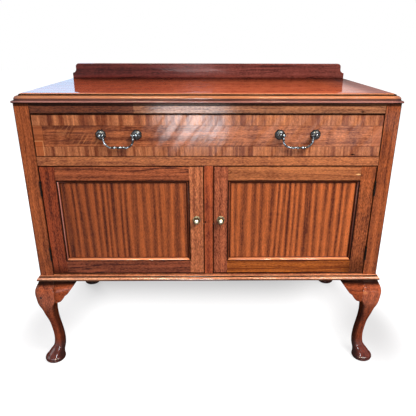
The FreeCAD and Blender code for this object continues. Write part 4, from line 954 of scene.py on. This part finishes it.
# Each door is a frame of two stiles and two rails, tenoned and glued, its edges
# left square. Rails and stiles come from different boards, and the right door's
# top rail has a knot and a pale bruise.
door_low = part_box("door_right_closing_stile")[0]
door_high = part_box("door_right_hinge_stile")[1]
ring_low, ring_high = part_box("door_right_mouldings")
rail_middle = 0.505
knot_place = (0.0600, -0.26, 0.6617)
pale_bruise = (0.4350, 0.6538)
door_boards = {
    "left": {"seed": 23.0,
             "top_rail": (tint(204, 108, 62), tint(94, 40, 22)),
             "bottom_rail": (tint(180, 90, 54), tint(74, 30, 18)),
             "closing_stile": (tint(240, 142, 90), tint(138, 70, 44)),
             "hinge_stile": (tint(186, 82, 40), tint(82, 30, 15))},
    "right": {"seed": 24.0,
              "top_rail": (tint(218, 130, 76), tint(118, 58, 32)),
              "bottom_rail": (tint(210, 112, 34), tint(128, 56, 12)),
              "closing_stile": (tint(212, 116, 74), tint(114, 50, 32)),
              "hinge_stile": (tint(202, 106, 54), tint(98, 45, 23))},
}


def door_dirt_and_shade(tree, place):
    """Dirt and painted shade round a door, along its outer arrises and beside its moulding, and
    darker in two lower corners.
    """
    x, y, z = place
    out_x = calc(tree, "ABSOLUTE", x)
    off_ring = most(tree, less(tree, ring_low[0], out_x), less(tree, out_x, ring_high[0]),
                    less(tree, ring_low[2], z), less(tree, z, ring_high[2]))
    # A painted shadow line on the frame beside the moulding.
    beside_ring = times(tree, between(tree, off_ring, -0.002, 0.0016, 0.0006), on_front(tree))
    left_corner = spot(tree, place, (-0.470, 0.334), 0.055, 0.020, 0.8)
    right_corner = spot(tree, place, (0.464, 0.346), 0.045, 0.040, 0.7)
    return most(tree, gap_share(tree), outline(tree, out_x, door_low[0], door_high[0]),
                outline(tree, z, door_low[2], door_high[2]),
                calc(tree, "ADD", times(tree, left_corner, 0.7), times(tree, right_corner, 0.6)),
                times(tree, beside_ring, 0.85))


def stile(name, seed, pale, dark):
    """An upright of a door."""
    material, tree = new_material(name)
    wood = cut_wood(tree, "Z", seed, pale, dark, ribbon=0.2, ribbon_width=0.02, streak=0.7,
                    mottle=0.4, flecks=0.8)
    old_polish(tree, wood, wood["Color"], door_dirt_and_shade(tree, place_parts(tree)), coat=0.42)
    return material


for side, board in door_boards.items():
    door_across, tree = new_material("door_" + side + "_rail_mahogany")
    place = place_parts(tree)
    upper = eased(tree, place[2], rail_middle - 0.1, rail_middle + 0.1)
    pale, dark = [mixed(tree, upper, low, top)
                  for low, top in zip(board["bottom_rail"], board["top_rail"])]
    wood = cut_wood(tree, "X", board["seed"], pale, dark, ribbon=0.25, ribbon_width=0.015,
                    streak=0.8, mottle=0.35, lines=0.9)
    dirt_and_shade = door_dirt_and_shade(tree, place)
    colour = wood["Color"]
    if side == "right":
        distance = tree.nodes.new("ShaderNodeVectorMath")
        distance.operation = "LENGTH"
        off_knot = vector_calc(tree, "SUBTRACT", turned_place(tree, "X", 0.0), knot_place)
        tree.links.new(off_knot, distance.inputs[0])
        knot = between(tree, distance.outputs["Value"], 0.0035, 0.0065, 0.001)
        dirt_and_shade = most(tree, dirt_and_shade, times(tree, knot, 0.5))
        colour = mixed(tree, spot(tree, place, pale_bruise, 0.0090, 0.0024), colour,
                       tint(250, 196, 130))
    old_polish(tree, wood, colour, dirt_and_shade, coat=0.45)
    for edge, seed_step in (("hinge", -2.0), ("closing", 0.5)):
        finished("door_" + side + "_" + edge + "_stile",
                 stile("door_" + side + "_" + edge + "_mahogany", board["seed"] + seed_step,
                       *board[edge + "_stile"]))
    finished("door_" + side + "_rails", door_across)

# The door panels are thin quartered mahogany, and their interlocked grain shows as
# broad upright ribbons that run a little out of true.
panel_wood, tree = new_material("door_panel_mahogany")
wood = cut_wood(tree, "Z", 24.0, tint(228, 120, 60), tint(88, 34, 18), ribbon=0.75,
                ribbon_width=0.0215, streak=0.45, mottle=0.15, lines=0.1, flecks=0.3)
# The panels are painted darker towards the left: a painted shade.
shaded = mixed(tree, 1.0, wood["Color"], (0.42, 0.34, 0.34, 1), "MULTIPLY")
to_left = eased(tree, place_parts(tree)[0], 0.0, -0.42)
colour = mixed(tree, times(tree, to_left, 0.62), wood["Color"], shaded)
polish(tree, wood, colour, coat=0.42, coat_roughness=0.14)
finished("door_left_panel", panel_wood)
finished("door_right_panel", panel_wood)

# A small moulding is planted round each panel, mitred at its corners, with dark wax and painted
# shade along the frame and at its toe. Its top and upright lengths are painted in shade, its lower
# length carries a painted highlight, and the left door's hinge-side length a pink painted
# reflection.
ridge_edges = (0.0034, 0.0054)
lit_edges = (0.0018, 0.0070)
moulding_wood, tree = new_material("door_moulding_mahogany")
x, y, z = place_parts(tree)
out_x = calc(tree, "ABSOLUTE", x)
beside = calc(tree, "MINIMUM", less(tree, out_x, ring_low[0]), less(tree, ring_high[0], out_x))
above = calc(tree, "MINIMUM", less(tree, z, ring_low[2]), less(tree, ring_high[2], z))
inward = calc(tree, "MINIMUM", beside, above)
upright_length = eased(tree, less(tree, above, beside), -0.0001, 0.0001)
along = mixed(tree, upright_length, turned_place(tree, "X", 25.0), turned_place(tree, "Z", 25.0),
              kind="VECTOR")
wood = use_group(tree, grain_group, vector=along, pale=tint(196, 102, 60), dark=tint(112, 48, 30),
                 streak=0.4, ribbon=0.1, mottle=0.3, lines=0.1)
upper_length = times(tree, left_over(tree, upright_length), eased(tree, z, 0.5, 0.51))
shaded_length = most(tree, upright_length, upper_length)
lit_length = left_over(tree, shaded_length)
ridge = between(tree, inward, *ridge_edges, 0.0006)
# Painted shade with wax: dark lines at the frame and toe, and the top and upright lengths darker
# overall.
wax_and_shade = most(tree, times(tree, eased(tree, inward, 0.0034, 0.0018), 0.96),
             times(tree, eased(tree, inward, 0.0062, 0.0076), 0.90),
             less(tree, 0.75, times(tree, ridge, 0.4)))
# Painted shade lines at the frame and toe of the lit lower length.
clear = most(tree, times(tree, eased(tree, inward, 0.0016, 0.0006), 0.94),
             times(tree, eased(tree, inward, 0.0074, 0.0086), 0.85))
# A pink painted reflection on the ridge of the left door's hinge-side length.
at_left = times(tree, ridge, eased(tree, x, -0.40, -0.43))
dirt_and_shade = raised(tree, times(tree, wax_and_shade, shaded_length), clear, lit_length)
dirt_and_shade = times(tree, dirt_and_shade, left_over(tree, times(tree, at_left, 0.9)))
colour = mixed(tree, times(tree, at_left, 0.6), wood["Color"], tint(210, 140, 130))
# A painted highlight along the lit lower length.
lit = times(tree, between(tree, inward, *lit_edges, 0.0006), lit_length)
colour = mixed(tree, times(tree, lit, 0.6), colour, tint(226, 146, 96))
old_polish(tree, wood, colour, dirt_and_shade, lit, **moulding_gloss)
finished("door_left_mouldings", moulding_wood, arris=0)
finished("door_right_mouldings", moulding_wood, arris=0)

# Brass butt hinges, their knuckles dulled nearly black, let into stile and post.
# Pins of the same brass run through the knuckles.
for node in ("hinge_frame_leaves", "hinge_pins", "door_left_hinge_leaves",
             "door_right_hinge_leaves"):
    finished(node, old_brass, arris=0)

# Turned brass ball knobs, rubbed bright in front with a painted highlight there and tarnished
# behind, and the catches in the doors' closing edges with their strikes in the upright between.
knob_reach = 0.4398
brass, tree, shader, tone = metal("bright_brass", 26.0, tint(74, 64, 48), tint(132, 120, 94),
                                  scale=240, share=(0.35, 0.65), rough=(0.34, 0.20))
x, y, z = place_parts(tree)
forward = calc(tree, "ADD", times(tree, y, -0.94), times(tree, z, 0.34))
# The knob's front is painted a pale cream: rubbed brass and painted highlight.
bright = mixed(tree, eased(tree, forward, knob_reach, knob_reach + 0.0020), tone,
               tint(246, 238, 204))
tarnish = times(tree, between(tree, y, -0.2725, -0.2640, 0.0015), 0.85)
tree.links.new(mixed(tree, tarnish, bright, tint(34, 27, 22)), shader.inputs["Base Color"])
for node in ("door_left_knob", "door_right_knob", "door_left_catch_barrel",
             "door_right_catch_barrel", "catch_strikes"):
    finished(node, brass, arris=0, flat=False)
